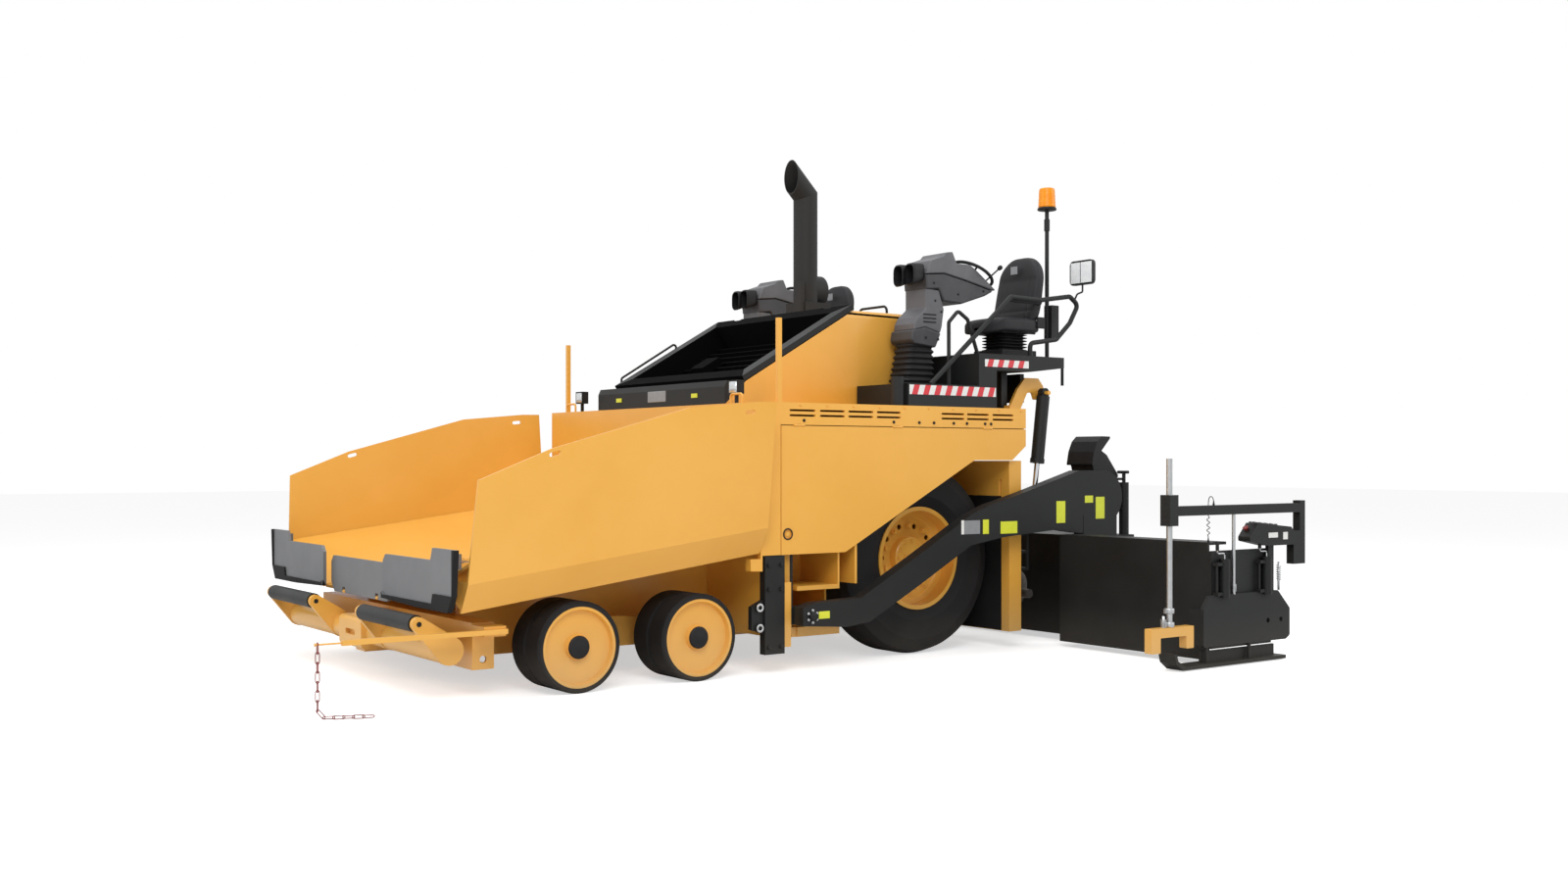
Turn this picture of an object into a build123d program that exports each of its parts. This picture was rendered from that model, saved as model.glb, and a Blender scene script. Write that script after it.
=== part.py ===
from build123d import *
import math
import os

# Wheeled asphalt paver with a tamping screed, standing parked with its hopper open, its screed
# extended and low. Millimetres. X points forward to the hopper, Y to the machine's left, Z up.
# Heights start at the ground. Lengths along X are stated from a datum plane just ahead of the
# drive axle, and every piece is moved by ORIGIN_X when it is written, which puts the origin under
# the middle of the machine.

# ---- overall ----
FRONT_REACH = 4340.0      # tip of the guide rod ahead of the datum plane
REAR_REACH = 2600.0       # back of the screed's walkway behind it
ORIGIN_X = (REAR_REACH - FRONT_REACH) / 2

BODY_HALF = 1500.0        # outer face of the side panels
DECK_Z = 1800.0           # top of the deck
SHEET = 20.0              # walls of the bodywork
PIN_GAP = 1.0             # radial clearance of pins and running fits
SIDE_GAP = 6.0            # clearance beside a moving piece

# ---- drive wheels ----
DRIVE_X = -170.0
DRIVE_R = 700.0
DRIVE_RIM_R = 363.0
DRIVE_OUT = 1300.0        # outer face of the tyre
DRIVE_W = 400.0
SPINDLE_R = 60.0
ARCH_GAP = 60.0           # between the tyre and its arch
ARCH_Z = 2 * DRIVE_R + ARCH_GAP
ARCH_X = DRIVE_X + DRIVE_R + ARCH_GAP
DISC_HOLES = 10
DISC_HOLE_R, DISC_HOLE_RING = 20.0, 235.0

# ---- front bogies, twin solid tyres on steered knuckles ----
BOGIE_XS = (2728.0, 1868.0)
BOGIE_R = 280.0
BOGIE_RIM_R = 248.0
BOGIE_OUT = BODY_HALF
TWIN_W = 356.0
TWIN_GROOVE = 16.0
HUB_R = 70.0
KINGPIN_Y = BOGIE_OUT - 440
KINGPIN_R = 18.0
KNUCKLE_R = 38.0
KNUCKLE_H = 150.0
STUB_R = 30.0
EAR_T = 34.0
BEAM_W = 80.0
BEAM_OUT = KINGPIN_Y - 50
BEAM_IN = BEAM_OUT - BEAM_W

# ---- hopper, all of it on one incline that rises to the rear ----
HOPPER_FRONT = 3500.0
HOPPER_LOW = 530.0        # underside of the floor at its front edge
INCLINE = 7.4             # degrees
FLOOR_T = 20.0
FLOOR_HALF = 780.0
FRAME_REAR = -900.0
FLOOR_LENGTH = (HOPPER_FRONT - FRAME_REAR) / math.cos(math.radians(INCLINE))
RIDGE_START = 75.0         # the middle ridge begins this far behind the floor's front edge
BULKHEAD_X = 1360.0
TUNNEL_H = 320.0
ROOF_T = 12.0
SLAT_PITCH = 250.0
SLAT_W, SLAT_H = 60.0, 30.0
SLAT_IN, SLAT_OUT = 50.0, FLOOR_HALF - 60

WING_T = 16.0
WING_LENGTH = 2300.0
WING_PIN_R = 10.0
WING_BARREL_R = 20.0
WING_PIN_Y = FLOOR_HALF + WING_BARREL_R + SIDE_GAP
WING_ROOT_Y = WING_PIN_Y + WING_BARREL_R + 8
WING_CREASE_Y = 1600.0
WING_CREASE_H = 170.0
WING_LIP_Y = 1500.0
WING_INNER_H = 275.0      # height of the inner crease above the hinge plane
WING_RISE = 1250.0
WING_LEAN = 0.12          # the side wall leans out by this share of its height
WING_REAR = BULKHEAD_X + SHEET + 25
WING_TOP = ((3467.0, 1300.0), (3017.0, 1480.0), (2068.0, 1741.0), (1552.0, 1788.0), (WING_REAR, 1790.0))
WING_SLOTS = ((2990.0, 1452.0, 15.0), (1610.0, 1722.0, 6.0))     # lifting slots: X, Z and slope
WING_SLOT_L, WING_SLOT_R = 50.0, 13.0
RIB_COUNT = 5
BARREL_COUNT = 6          # hinge barrels along each wing, floor and wing in turn
BARREL_START = 150.0
BARREL_STEP = 300.0

FLAP_T = 22.0
RUBBER_T = 34.0           # rubber lip on the flaps and the apron
FLAP_X = 3577.0
FLAP_IN = 546.0
FLAP_OUT = 1650.0
APRON_X = 3525.0
APRON_T = 20.0
APRON_HALF = FLAP_IN - SIDE_GAP
APRON_LOW, APRON_HIGH = 525.0, 767.0
APRON_PIN_Z = 535.0
APRON_PIN_R = 6.0
APRON_LUG_Y, APRON_LUG_T = 300.0, 40.0

# ---- frame ----
RAIL_OUT = FLOOR_HALF - 10
RAIL_T = 30.0
RAIL_LOW = 180.0
FRAME_FRONT = 3200.0
NOSE_T = 140.0            # front cross box
NOSE_HALF = 1300.0
NOSE_LOW, NOSE_HIGH = 170.0, 450.0
TIE_X, TIE_Z, TIE_R = FRAME_FRONT + NOSE_T / 2, 230.0, 22.0     # lashing holes in the box's ends
CROSS_XS = (2900.0, 2300.0, 1500.0, 700.0, -600.0)
CROSS_W, CROSS_LOW, CROSS_HIGH = 120.0, 300.0, 420.0

# ---- push beam and rollers ----
BEAM_X, BEAM_Z, BEAM_R = 3500.0, 300.0, 80.0
BEAM_HALF = NOSE_HALF + 30
BEAM_PIN_R = 25.0
EAR_HALF = 80.0
ROLLER_X, ROLLER_Z, ROLLER_R = 3690.0, 468.0, 50.0
ROLLER_PIN_R = 15.0
BRACKET_T = 40.0
BRACKET_YS = (460.0, 1350.0)

# ---- guide rod and its chain ----
GUIDE_ROD_Y = BODY_HALF - 20
GUIDE_ROD_Z = 410.0
GUIDE_ROD_END = 4190.0
GUIDE_TIP_R = 5.0
LINK_WIRE_R = 3.0
LINK_BENDS = 4             # straight runs round each end of a link
LINK_INNER_R = 8.0
LINK_INNER_L = 58.0
LINK_GAP = 6.0
LYING_ROLL, BEND_ROLL = 45, 30     # how far the lying links, and the one between, lean over
HANGING_LINKS = 7
LYING_LINKS = 5

# ---- side bodies ----
PANEL_FRONT = BULKHEAD_X + SHEET
DOOR_FRONT = 1227.0
DOOR_TOP = 1645.0
DOOR_LOW = 785.0
BODY_REAR = -1040.0
TAIL_LOW = 1414.0
DOOR_OUTLINE = ((DOOR_FRONT, DOOR_TOP), (DOOR_FRONT, DOOR_LOW), (687.0, DOOR_LOW), (-515.0, TAIL_LOW),
                (-900.0, TAIL_LOW), (BODY_REAR, TAIL_LOW + 106), (BODY_REAR, DOOR_TOP))
LATCH_X, LATCH_Z, LATCH_R = 1174.0, 922.0, 32.0
DOOR_HINGE_XS = (1080.0, 220.0, -645.0)
DOOR_HINGE_R, DOOR_HINGE_PIN_R, KNUCKLE_L = 7.0, 3.0, 30.0
VENTS = ((1158.0, 945.0), (903.0, 693.0), (658.0, 442.0), (406.0, 192.0),
         (-195.0, -414.0), (-443.0, -658.0), (-698.0, -909.0))        # front and rear end of each pair
VENT_ZS = (1714.0, 1748.0)
VENT_H = 14.0
STEP_FRONT, STEP_REAR = 1060.0, 700.0
STEP_LOW, STEP_Z, STEP_BEAM = 225.0, 535.0, 65.0

# ---- hood ----
HOOD_HALF = 900.0
HOOD_FRONT = 1280.0
HOOD_REAR = -600.0
HOOD_TOP = 2525.0
HOOD_CORNER_R = 280.0
HOOD_CREST_X = 127.0
FASCIA_TOP = 1970.0
FASCIA_X = 1100.0
SLOPE = math.degrees(math.atan((HOOD_TOP - FASCIA_TOP) / (FASCIA_X - HOOD_CREST_X)))
SLOPE_LENGTH = math.hypot(HOOD_TOP - FASCIA_TOP, FASCIA_X - HOOD_CREST_X)
INTAKE_RIM = 110.0        # width of the sloping frame round the intake
INTAKE_RISE = 40.0
INTAKE_DEPTH = 150.0
INTAKE_WALL = 10.0
INTAKE_BARS = 9
LID_HINGE_R, LID_PIN_R = 12.0, 5.0
LID_HINGE_YS = (-600.0, 600.0)
LID_HINGE_LX, LID_HINGE_LZ = -SLOPE_LENGTH - 9, 16.0      # in the slope's own axes
LID_HINGE_X = FASCIA_X + LID_HINGE_LX * math.cos(math.radians(SLOPE)) + LID_HINGE_LZ * math.sin(math.radians(SLOPE))
LID_HINGE_Z = FASCIA_TOP - LID_HINGE_LX * math.sin(math.radians(SLOPE)) + LID_HINGE_LZ * math.cos(math.radians(SLOPE))

# ---- engine ----
ENGINE_REAR, ENGINE_FRONT, ENGINE_HALF = 200.0, 950.0, 550.0
ENGINE_LOW, ENGINE_TOP = 1350.0, 1830.0
BEARER_XS = (340.0, 860.0)

# ---- exhaust stack ----
STACK_X, STACK_Y, STACK_R = -390.0, -400.0, 100.0
STACK_WALL = 8.0
STACK_BEND_Z = 3600.0
STACK_MOUTH_X = -245.0

# ---- operator stations ----
SEAT_Y, SEAT_W = 1170.0, 440.0
CONSOLE_Y, CONSOLE_W = 1080.0, 260.0
LOWER_STEP = (-740.0, 120.0)
LOWER_STEP_Z = 1960.0
UPPER_STEP = (-1450.0, -560.0)
UPPER_STEP_Z, UPPER_STEP_T = 2200.0, 120.0
STATION_IN = 800.0
RAIL_TUBE_Y = BODY_HALF - 35
TUBE_R = 18.0
MAST_X, MAST_Y = -1470.0, 1300.0
MAST_TOP = 3360.0
BEACON_H, BEACON_R = 155.0, 55.0

# ---- tow points, arms and screed ----
TOW_X, TOW_Z = 1050.0, 375.0
TOW_PIN_R = 28.0
ARM_T = 100.0
ARM_IN = BODY_HALF + 12
ARM_OUT = ARM_IN + ARM_T
PLATE_FRONT, PLATE_REAR = 1360.0, 1200.0
REAR_POST_T = 35.0
SCREED_FRONT = -1620.0
SCREED_BACK = -2100.0
SCREED_HALF = 1380.0
SCREED_LOW, SCREED_TOP = 50.0, 830.0
WALKWAY_Z = 400.0
YOKE_FRONT, YOKE_REAR, YOKE_T = -1640.0, -2120.0, 40.0
EXT_FRONT = -1340.0
EXT_BACK = -1600.0
EXT_IN, EXT_OUT = 1560.0, 3000.0
EXT_TOP = 850.0
EXT_LOW = 40.0
GUIDE_R = 55.0
GUIDE_Z = 550.0
GUIDE_IN = 300.0
GUIDE_XS = {"left": -1760.0, "right": -1920.0}
GATE_T = 30.0
GATE_BOLT_X, GATE_BOLT_Z, GATE_BOLT_R = -2000.0, 284.0, 18.0
GATE_BOLT_STEP = 146.0
SKI_LOW, SKI_T = 8.0, 25.0
SENSOR_Y = EXT_OUT - 25
SENSOR_BEAM = (1040.0, 1105.0)
SENSOR_TUBE_X, SENSOR_TUBE_R, SENSOR_TUBE_TOP = -900.0, 20.0, 1425.0
CORD_R = 3.0
COIL_R = 12.0

# ---- auger ----
AUGER_X, AUGER_Z, AUGER_R = -1150.0, 400.0, 170.0
AUGER_SHAFT_R = 35.0
AUGER_IN, AUGER_OUT = 110.0, 1430.0
AUGER_PITCH = 300.0
FLIGHT_T = 12.0

# ---- lift cylinders ----
LIFT_Y = 1400.0
LIFT_TOP = (-1330.0, 1930.0)
LIFT_EYE = (-1220.0, 1090.0)
LIFT_BARREL_R, LIFT_ROD_R = 50.0, 20.0
LIFT_PIN_R = 16.0
EYE_PIN_R, EYE_DRIFT = 12.0, 15.0      # the lower eye is bored wide of its pin


def box(x, y, z):
    """Block between the low and high value on each axis."""
    size = [high - low for low, high in (x, y, z)]
    middle = [(high + low) / 2 for low, high in (x, y, z)]
    return Pos(*middle) * Box(*size)


def side_outline(points, corner=0.0):
    """Outline in X and Z on the middle plane, its corners rounded if a radius is given."""
    face = Polygon(*points, align=None)
    if corner:
        face = fillet(face.vertices(), corner)
    return Plane(origin=(0, 0, 0), x_dir=(1, 0, 0), z_dir=(0, -1, 0)) * face


def side_plate(points, y, corner=0.0):
    """Outline in X and Z, extruded along Y between two values."""
    return extrude(Pos(0, y[0], 0) * side_outline(points, corner), amount=y[1] - y[0], dir=(0, 1, 0))


def cross_plate(points, x, corner=0.0):
    """Outline in Y and Z, extruded along X between two values."""
    plane = Plane(origin=(x[0], 0, 0), x_dir=(0, 1, 0), z_dir=(1, 0, 0))
    face = Polygon(*points, align=None)
    if corner:
        face = fillet(face.vertices(), corner)
    return extrude(plane * face, amount=x[1] - x[0], dir=(1, 0, 0))


def rod(start, end, radius):
    """Round bar between two points."""
    start, end = Vector(*start), Vector(*end)
    return Solid.make_cylinder(radius, (end - start).length, Plane(origin=start, z_dir=end - start))


def cross_rod(x, y, z, radius):
    """Round bar along Y between two values."""
    return rod((x, y[0], z), (x, y[1], z), radius)


def upright(x, y, z, radius):
    """Round bar along Z between two values."""
    return rod((x, y, z[0]), (x, y, z[1]), radius)


def bent_tube(points, radius, bend):
    """Round bar along straight runs joined by arcs."""
    path = FilletPolyline(*points, radius=bend)
    return sweep(Plane(origin=path @ 0, z_dir=path % 0) * Circle(radius), path=path)


def link_plate(a, b, radius_a, radius_b, y):
    """Plate with two round ends, each given by X and Z, between two values of Y."""
    plane = Plane(origin=(0, y[0], 0), x_dir=(1, 0, 0), z_dir=(0, -1, 0))
    outline = make_hull((Pos(*a) * Circle(radius_a) + Pos(*b) * Circle(radius_b)).edges())
    return extrude(plane * outline, amount=y[1] - y[0], dir=(0, 1, 0))


def other_side(shape):
    """The same piece on the machine's right."""
    return mirror(shape, about=Plane.XZ)


def both(shape):
    return Compound(children=[*shape.solids(), *other_side(shape).solids()])


def group(*shapes):
    return Compound(children=[solid for shape in shapes for solid in shape.solids()])


def turned(points, x, z):
    """Ring around an axis along Y: the outline gives radius and Y."""
    face = Plane(origin=(x, 0, z), x_dir=(1, 0, 0), z_dir=(0, 0, 1)) * Polygon(*points, align=None)
    return revolve(face, axis=Axis((x, 0, z), (0, 1, 0)))


def floor_z(x):
    """Underside of the inclined hopper floor."""
    return HOPPER_LOW + (HOPPER_FRONT - x) * math.tan(math.radians(INCLINE))


def on_incline(shape):
    """From the floor's own frame (X from its front edge, Z from its underside) to the machine's."""
    return Pos(HOPPER_FRONT, 0, HOPPER_LOW) * Rot(0, INCLINE, 0) * shape


def on_slope(shape):
    """From the intake frame's own axes (X forward from the fascia, Z out of the slope)."""
    return Pos(FASCIA_X, 0, FASCIA_TOP) * Rot(0, SLOPE, 0) * shape


# ---------------------------------------------------------------- frame

def chassis():
    rail = side_plate([(FRAME_FRONT, RAIL_LOW), (FRAME_FRONT, floor_z(FRAME_FRONT)),
                       (FRAME_REAR, floor_z(FRAME_REAR)), (FRAME_REAR, RAIL_LOW + 250), (600, RAIL_LOW)],
                      (RAIL_OUT - RAIL_T, RAIL_OUT))
    nose = box((FRAME_FRONT, FRAME_FRONT + NOSE_T), (-NOSE_HALF, NOSE_HALF), (NOSE_LOW, NOSE_HIGH))
    nose -= box((FRAME_FRONT - 1, FRAME_FRONT + NOSE_T - SHEET), (-NOSE_HALF + SHEET, NOSE_HALF - SHEET),
                (NOSE_LOW + SHEET, NOSE_HIGH - SHEET))
    for side in (-1, 1):
        nose -= rod((TIE_X, side * (NOSE_HALF - 30), TIE_Z), (TIE_X, side * (NOSE_HALF + 5), TIE_Z), TIE_R)
    ears = box((FRAME_FRONT + NOSE_T, BEAM_X + 40), (-EAR_HALF, EAR_HALF), (NOSE_HIGH - 45, NOSE_HIGH - 20))
    ears += box((FRAME_FRONT + NOSE_T, BEAM_X + 40), (-EAR_HALF, EAR_HALF), (NOSE_LOW, NOSE_LOW + 25))
    pin = upright(BEAM_X, 0, (NOSE_LOW, NOSE_HIGH - 20), BEAM_PIN_R)
    inner = RAIL_OUT - RAIL_T
    crosses = Part()
    for x in CROSS_XS:
        crosses += box((x - CROSS_W / 2, x + CROSS_W / 2), (-inner, inner), (CROSS_LOW, CROSS_HIGH))
    axle_end = DRIVE_OUT - DRIVE_W + 20
    axle = cross_rod(DRIVE_X, (-axle_end, axle_end), DRIVE_R, 130)
    spindles = cross_rod(DRIVE_X, (-axle_end - 240, axle_end + 240), DRIVE_R, SPINDLE_R)
    step_out = BODY_HALF - 50
    step = box((STEP_REAR, STEP_FRONT), (RAIL_OUT, step_out), (STEP_LOW, STEP_LOW + STEP_BEAM))
    step += box((STEP_REAR, STEP_FRONT), (RAIL_OUT, step_out), (STEP_Z, STEP_Z + 30))
    step += box((STEP_REAR, STEP_REAR + 15), (RAIL_OUT, step_out - 150), (STEP_LOW, STEP_Z))
    step += box((STEP_REAR, STEP_FRONT), (1000, 1016), (STEP_Z, DOOR_LOW))
    step += box((STEP_REAR, STEP_REAR + 15), (1000, step_out), (STEP_Z, DOOR_LOW))
    step -= cross_rod(880, (990, 1030), STEP_Z + 80, 26)
    tow_box = box((STEP_FRONT + 40, PLATE_FRONT - 20), (RAIL_OUT, step_out - 10), (STEP_LOW + 25, DOOR_LOW))
    tow_box += box((STEP_FRONT, STEP_FRONT + 40), (RAIL_OUT, step_out - 10), (STEP_LOW, STEP_LOW + STEP_BEAM))
    channel = box((PLATE_REAR - 60, PLATE_REAR), (step_out - 10, BODY_HALF - 10), (170, 600))
    sides = rail + step + tow_box + channel
    foot = box((FRAME_FRONT, FRAME_FRONT + NOSE_T), (NOSE_HALF, GUIDE_ROD_Y - 15), (GUIDE_ROD_Z - 30, GUIDE_ROD_Z + 30))
    foot += box((FRAME_FRONT, GUIDE_ROD_END), (GUIDE_ROD_Y - 15, GUIDE_ROD_Y + 15), (GUIDE_ROD_Z - 15, GUIDE_ROD_Z + 15))
    foot += rod((GUIDE_ROD_END, GUIDE_ROD_Y, GUIDE_ROD_Z), (FRONT_REACH, GUIDE_ROD_Y, GUIDE_ROD_Z), GUIDE_TIP_R)
    foot += rod((FRONT_REACH - 4, GUIDE_ROD_Y, GUIDE_ROD_Z), (FRONT_REACH, GUIDE_ROD_Y, GUIDE_ROD_Z), 2 * GUIDE_TIP_R)
    return sides + other_side(sides) + nose + ears + pin + crosses + axle + spindles + foot


def link_outline(radius, shift):
    """Stadium of straight runs round a link: half rounds of the given radius, shifted to each end."""
    corners = []
    for end in (1, -1):
        for k in range(LINK_BENDS + 1):
            turn = math.radians(180 * k / LINK_BENDS + (0 if end == 1 else 180))
            corners.append((radius * math.cos(turn), end * shift + radius * math.sin(turn)))
    return Polygon(*corners, align=None)


def chain_link(start, end, roll):
    """Oval link between two joints of the chain, turned about its length."""
    straight = LINK_INNER_L / 2 - LINK_INNER_R
    flat = link_outline(LINK_INNER_R + 2 * LINK_WIRE_R, straight) - link_outline(LINK_INNER_R, straight)
    ring = extrude(Plane.XZ * flat, amount=LINK_WIRE_R, both=True)
    start, end = Vector(*start), Vector(*end)
    along = (end - start).normalized()
    level = Vector(0, 1, 0)
    return Plane(origin=(start + end) / 2, x_dir=level, z_dir=along) * Rot(0, 0, roll) * ring


def chain():
    step = LINK_INNER_L - LINK_GAP
    x = FRONT_REACH - 16
    top = GUIDE_ROD_Z + GUIDE_TIP_R + 0.5
    lying = (LINK_INNER_R + 3 * LINK_WIRE_R) * math.sin(math.radians(LYING_ROLL))
    joints = [(x, GUIDE_ROD_Y, top - k * step) for k in range(HANGING_LINKS + 1)]
    fall = joints[-1][2] - lying
    heading = Vector(-287, 127, 0).normalized()
    reach = math.sqrt(step ** 2 - fall ** 2)
    for k in range(LYING_LINKS + 1):
        place = Vector(x, GUIDE_ROD_Y, lying) + heading * (reach + k * step)
        joints.append((place.X, place.Y, place.Z))
    links = []
    for k, (start, end) in enumerate(zip(joints, joints[1:])):
        lean = LYING_ROLL if k > HANGING_LINKS else BEND_ROLL if k == HANGING_LINKS else 0
        links.append(chain_link(start, end, 90 * (k % 2) + lean))
    return group(*links)


def bogie_beams():
    front, rear = BOGIE_XS
    low, high = BOGIE_R - KNUCKLE_H / 2 - 2, BOGIE_R + KNUCKLE_H / 2 + 2
    beam = side_plate([(rear - 60, low), (rear - 60, high), ((front + rear) / 2 - 150, high + 40),
                       ((front + rear) / 2 + 150, high + 40), (front + 60, high), (front + 60, low)],
                      (BEAM_IN, BEAM_OUT))
    for x in BOGIE_XS:
        for z in ((low - EAR_T, low), (high, high + EAR_T)):
            beam += box((x - 50, x + 50), (BEAM_IN, KINGPIN_Y + 45), z)
        beam -= upright(x, KINGPIN_Y, (low - 50, high + 50), KINGPIN_R + PIN_GAP)
    middle = (front + rear) / 2
    beam += cross_rod(middle, (RAIL_OUT, BEAM_IN), BOGIE_R, 60)
    return both(beam)


def knuckle(x):
    low, high = BOGIE_R - KNUCKLE_H / 2, BOGIE_R + KNUCKLE_H / 2
    barrel = upright(x, KINGPIN_Y, (low, high), KNUCKLE_R)
    pin = upright(x, KINGPIN_Y, (low - EAR_T, high + EAR_T), KINGPIN_R)
    return barrel + pin + cross_rod(x, (KINGPIN_Y, BOGIE_OUT - 110), BOGIE_R, STUB_R)


def bogie_rim(x):
    inner = BOGIE_OUT - TWIN_W
    r = BOGIE_RIM_R
    bore = STUB_R + PIN_GAP
    section = [(bore, inner + 20), (HUB_R, inner + 20), (HUB_R, BOGIE_OUT - 66), (r - 26, BOGIE_OUT - 54),
               (r - 12, BOGIE_OUT - 66), (r - 12, inner + 6), (r, inner + 6), (r, BOGIE_OUT - 4),
               (r - 18, BOGIE_OUT - 4), (r - 26, BOGIE_OUT - 38), (HUB_R + 10, BOGIE_OUT - 46),
               (HUB_R, BOGIE_OUT - 15), (HUB_R - 8, BOGIE_OUT - 10), (0, BOGIE_OUT - 10), (0, BOGIE_OUT - 100),
               (bore, BOGIE_OUT - 100)]
    return turned(section, x, BOGIE_R)


def bogie_tyre(x):
    width = (TWIN_W - TWIN_GROOVE) / 2
    tyres = []
    for out in (BOGIE_OUT, BOGIE_OUT - width - TWIN_GROOVE):
        tyres.append(turned([(BOGIE_RIM_R, out - width), (BOGIE_R, out - width), (BOGIE_R, out - 14),
                             (BOGIE_R - 12, out), (BOGIE_RIM_R, out)], x, BOGIE_R))
    return group(*tyres)


def drive_rim():
    r = DRIVE_RIM_R
    out, inner = DRIVE_OUT - 20, DRIVE_OUT - DRIVE_W + 20
    bore = SPINDLE_R + PIN_GAP
    dish = DRIVE_OUT - 150
    section = [(bore, inner + 20), (150, inner + 20), (150, dish - 30), (r - 18, dish - 10), (r - 18, inner), (r, inner),
               (r + 12, inner), (r + 12, inner + 12), (r, inner + 12), (r, out - 12), (r + 12, out - 12),
               (r + 12, out), (r - 18, out), (r - 18, dish + 14), (r - 60, dish + 10), (r - 70, dish - 4),
               (160, dish - 10), (150, dish + 40), (140, dish + 48), (0, dish + 48), (0, dish + 12), (bore, dish + 12)]
    rim = turned(section, DRIVE_X, DRIVE_R)
    for k in range(DISC_HOLES):
        turn = math.radians(360 * k / DISC_HOLES)
        x, z = DRIVE_X + DISC_HOLE_RING * math.cos(turn), DRIVE_R + DISC_HOLE_RING * math.sin(turn)
        rim -= cross_rod(x, (dish - 60, dish + 40), z, DISC_HOLE_R)
    return rim


def drive_tyre():
    r, rim = DRIVE_R, DRIVE_RIM_R
    out, inner = DRIVE_OUT, DRIVE_OUT - DRIVE_W
    bead = 37.5
    return turned([(rim, inner + bead), (rim + 90, inner), (r - 110, inner), (r, inner + 90), (r, out - 110),
                   (r - 24, out - 35), (r - 110, out), (rim + 90, out), (rim, out - bead)], DRIVE_X, DRIVE_R)


# ---------------------------------------------------------------- hopper

def hinge_barrels(first, reach):
    """Every second barrel on the wing's hinge line, in the floor's own frame."""
    barrels = Part()
    for k in range(first, BARREL_COUNT, 2):
        start = -BARREL_START - k * BARREL_STEP
        end = start - BARREL_STEP + SIDE_GAP
        barrels += rod((start, WING_PIN_Y, FLOOR_T / 2), (end, WING_PIN_Y, FLOOR_T / 2), WING_BARREL_R)
        barrels += box((end, start), reach, (2, FLOOR_T - 2))
    return barrels


def hopper_floor():
    plate = box((-FLOOR_LENGTH, 0), (-FLOOR_HALF, FLOOR_HALF), (0, FLOOR_T))
    pin_end = -BARREL_START - BARREL_COUNT * BARREL_STEP + SIDE_GAP
    hinge = hinge_barrels(0, (FLOOR_HALF, WING_PIN_Y))
    hinge += rod((-BARREL_START, WING_PIN_Y, FLOOR_T / 2), (pin_end, WING_PIN_Y, FLOOR_T / 2), WING_PIN_R)
    tunnel_front = -(HOPPER_FRONT - BULKHEAD_X) / math.cos(math.radians(INCLINE))
    wall = box((-FLOOR_LENGTH, tunnel_front), (FLOOR_HALF - SHEET, FLOOR_HALF), (FLOOR_T, TUNNEL_H))
    roof = box((-FLOOR_LENGTH, tunnel_front), (-FLOOR_HALF, FLOOR_HALF), (TUNNEL_H, TUNNEL_H + ROOF_T))
    ridge = cross_plate([(-40, FLOOR_T), (-12, FLOOR_T + 70), (12, FLOOR_T + 70), (40, FLOOR_T)], (-FLOOR_LENGTH, -RIDGE_START))
    whole = on_incline(plate + hinge + other_side(hinge) + wall + other_side(wall) + roof + ridge)
    middle = APRON_X + APRON_T / 2
    for y in (-APRON_LUG_Y, APRON_LUG_Y):
        lug = box((HOPPER_FRONT - 5, APRON_X - 3), (y - APRON_LUG_T / 2, y + APRON_LUG_T / 2),
                  (HOPPER_LOW + 2, APRON_PIN_Z + 12))
        lug += link_plate((APRON_X - 9, APRON_PIN_Z), (middle, APRON_PIN_Z), 12, 12,
                          (y - APRON_LUG_T / 2, y + APRON_LUG_T / 2))
        lug -= cross_rod(middle, (y - 30, y + 30), APRON_PIN_Z, APRON_PIN_R + PIN_GAP)
        whole += lug
    return whole


def conveyors():
    count = int((FLOOR_LENGTH - 100) / SLAT_PITCH)
    slats = []
    for k in range(count):
        x = -100 - k * SLAT_PITCH
        bar = cross_plate([(SLAT_IN, FLOOR_T), (SLAT_IN, FLOOR_T + SLAT_H), (SLAT_OUT, FLOOR_T + SLAT_H),
                           (SLAT_OUT, FLOOR_T)], (x - SLAT_W, x))
        slats.append(on_incline(bar))
    return both(group(*slats))


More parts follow.
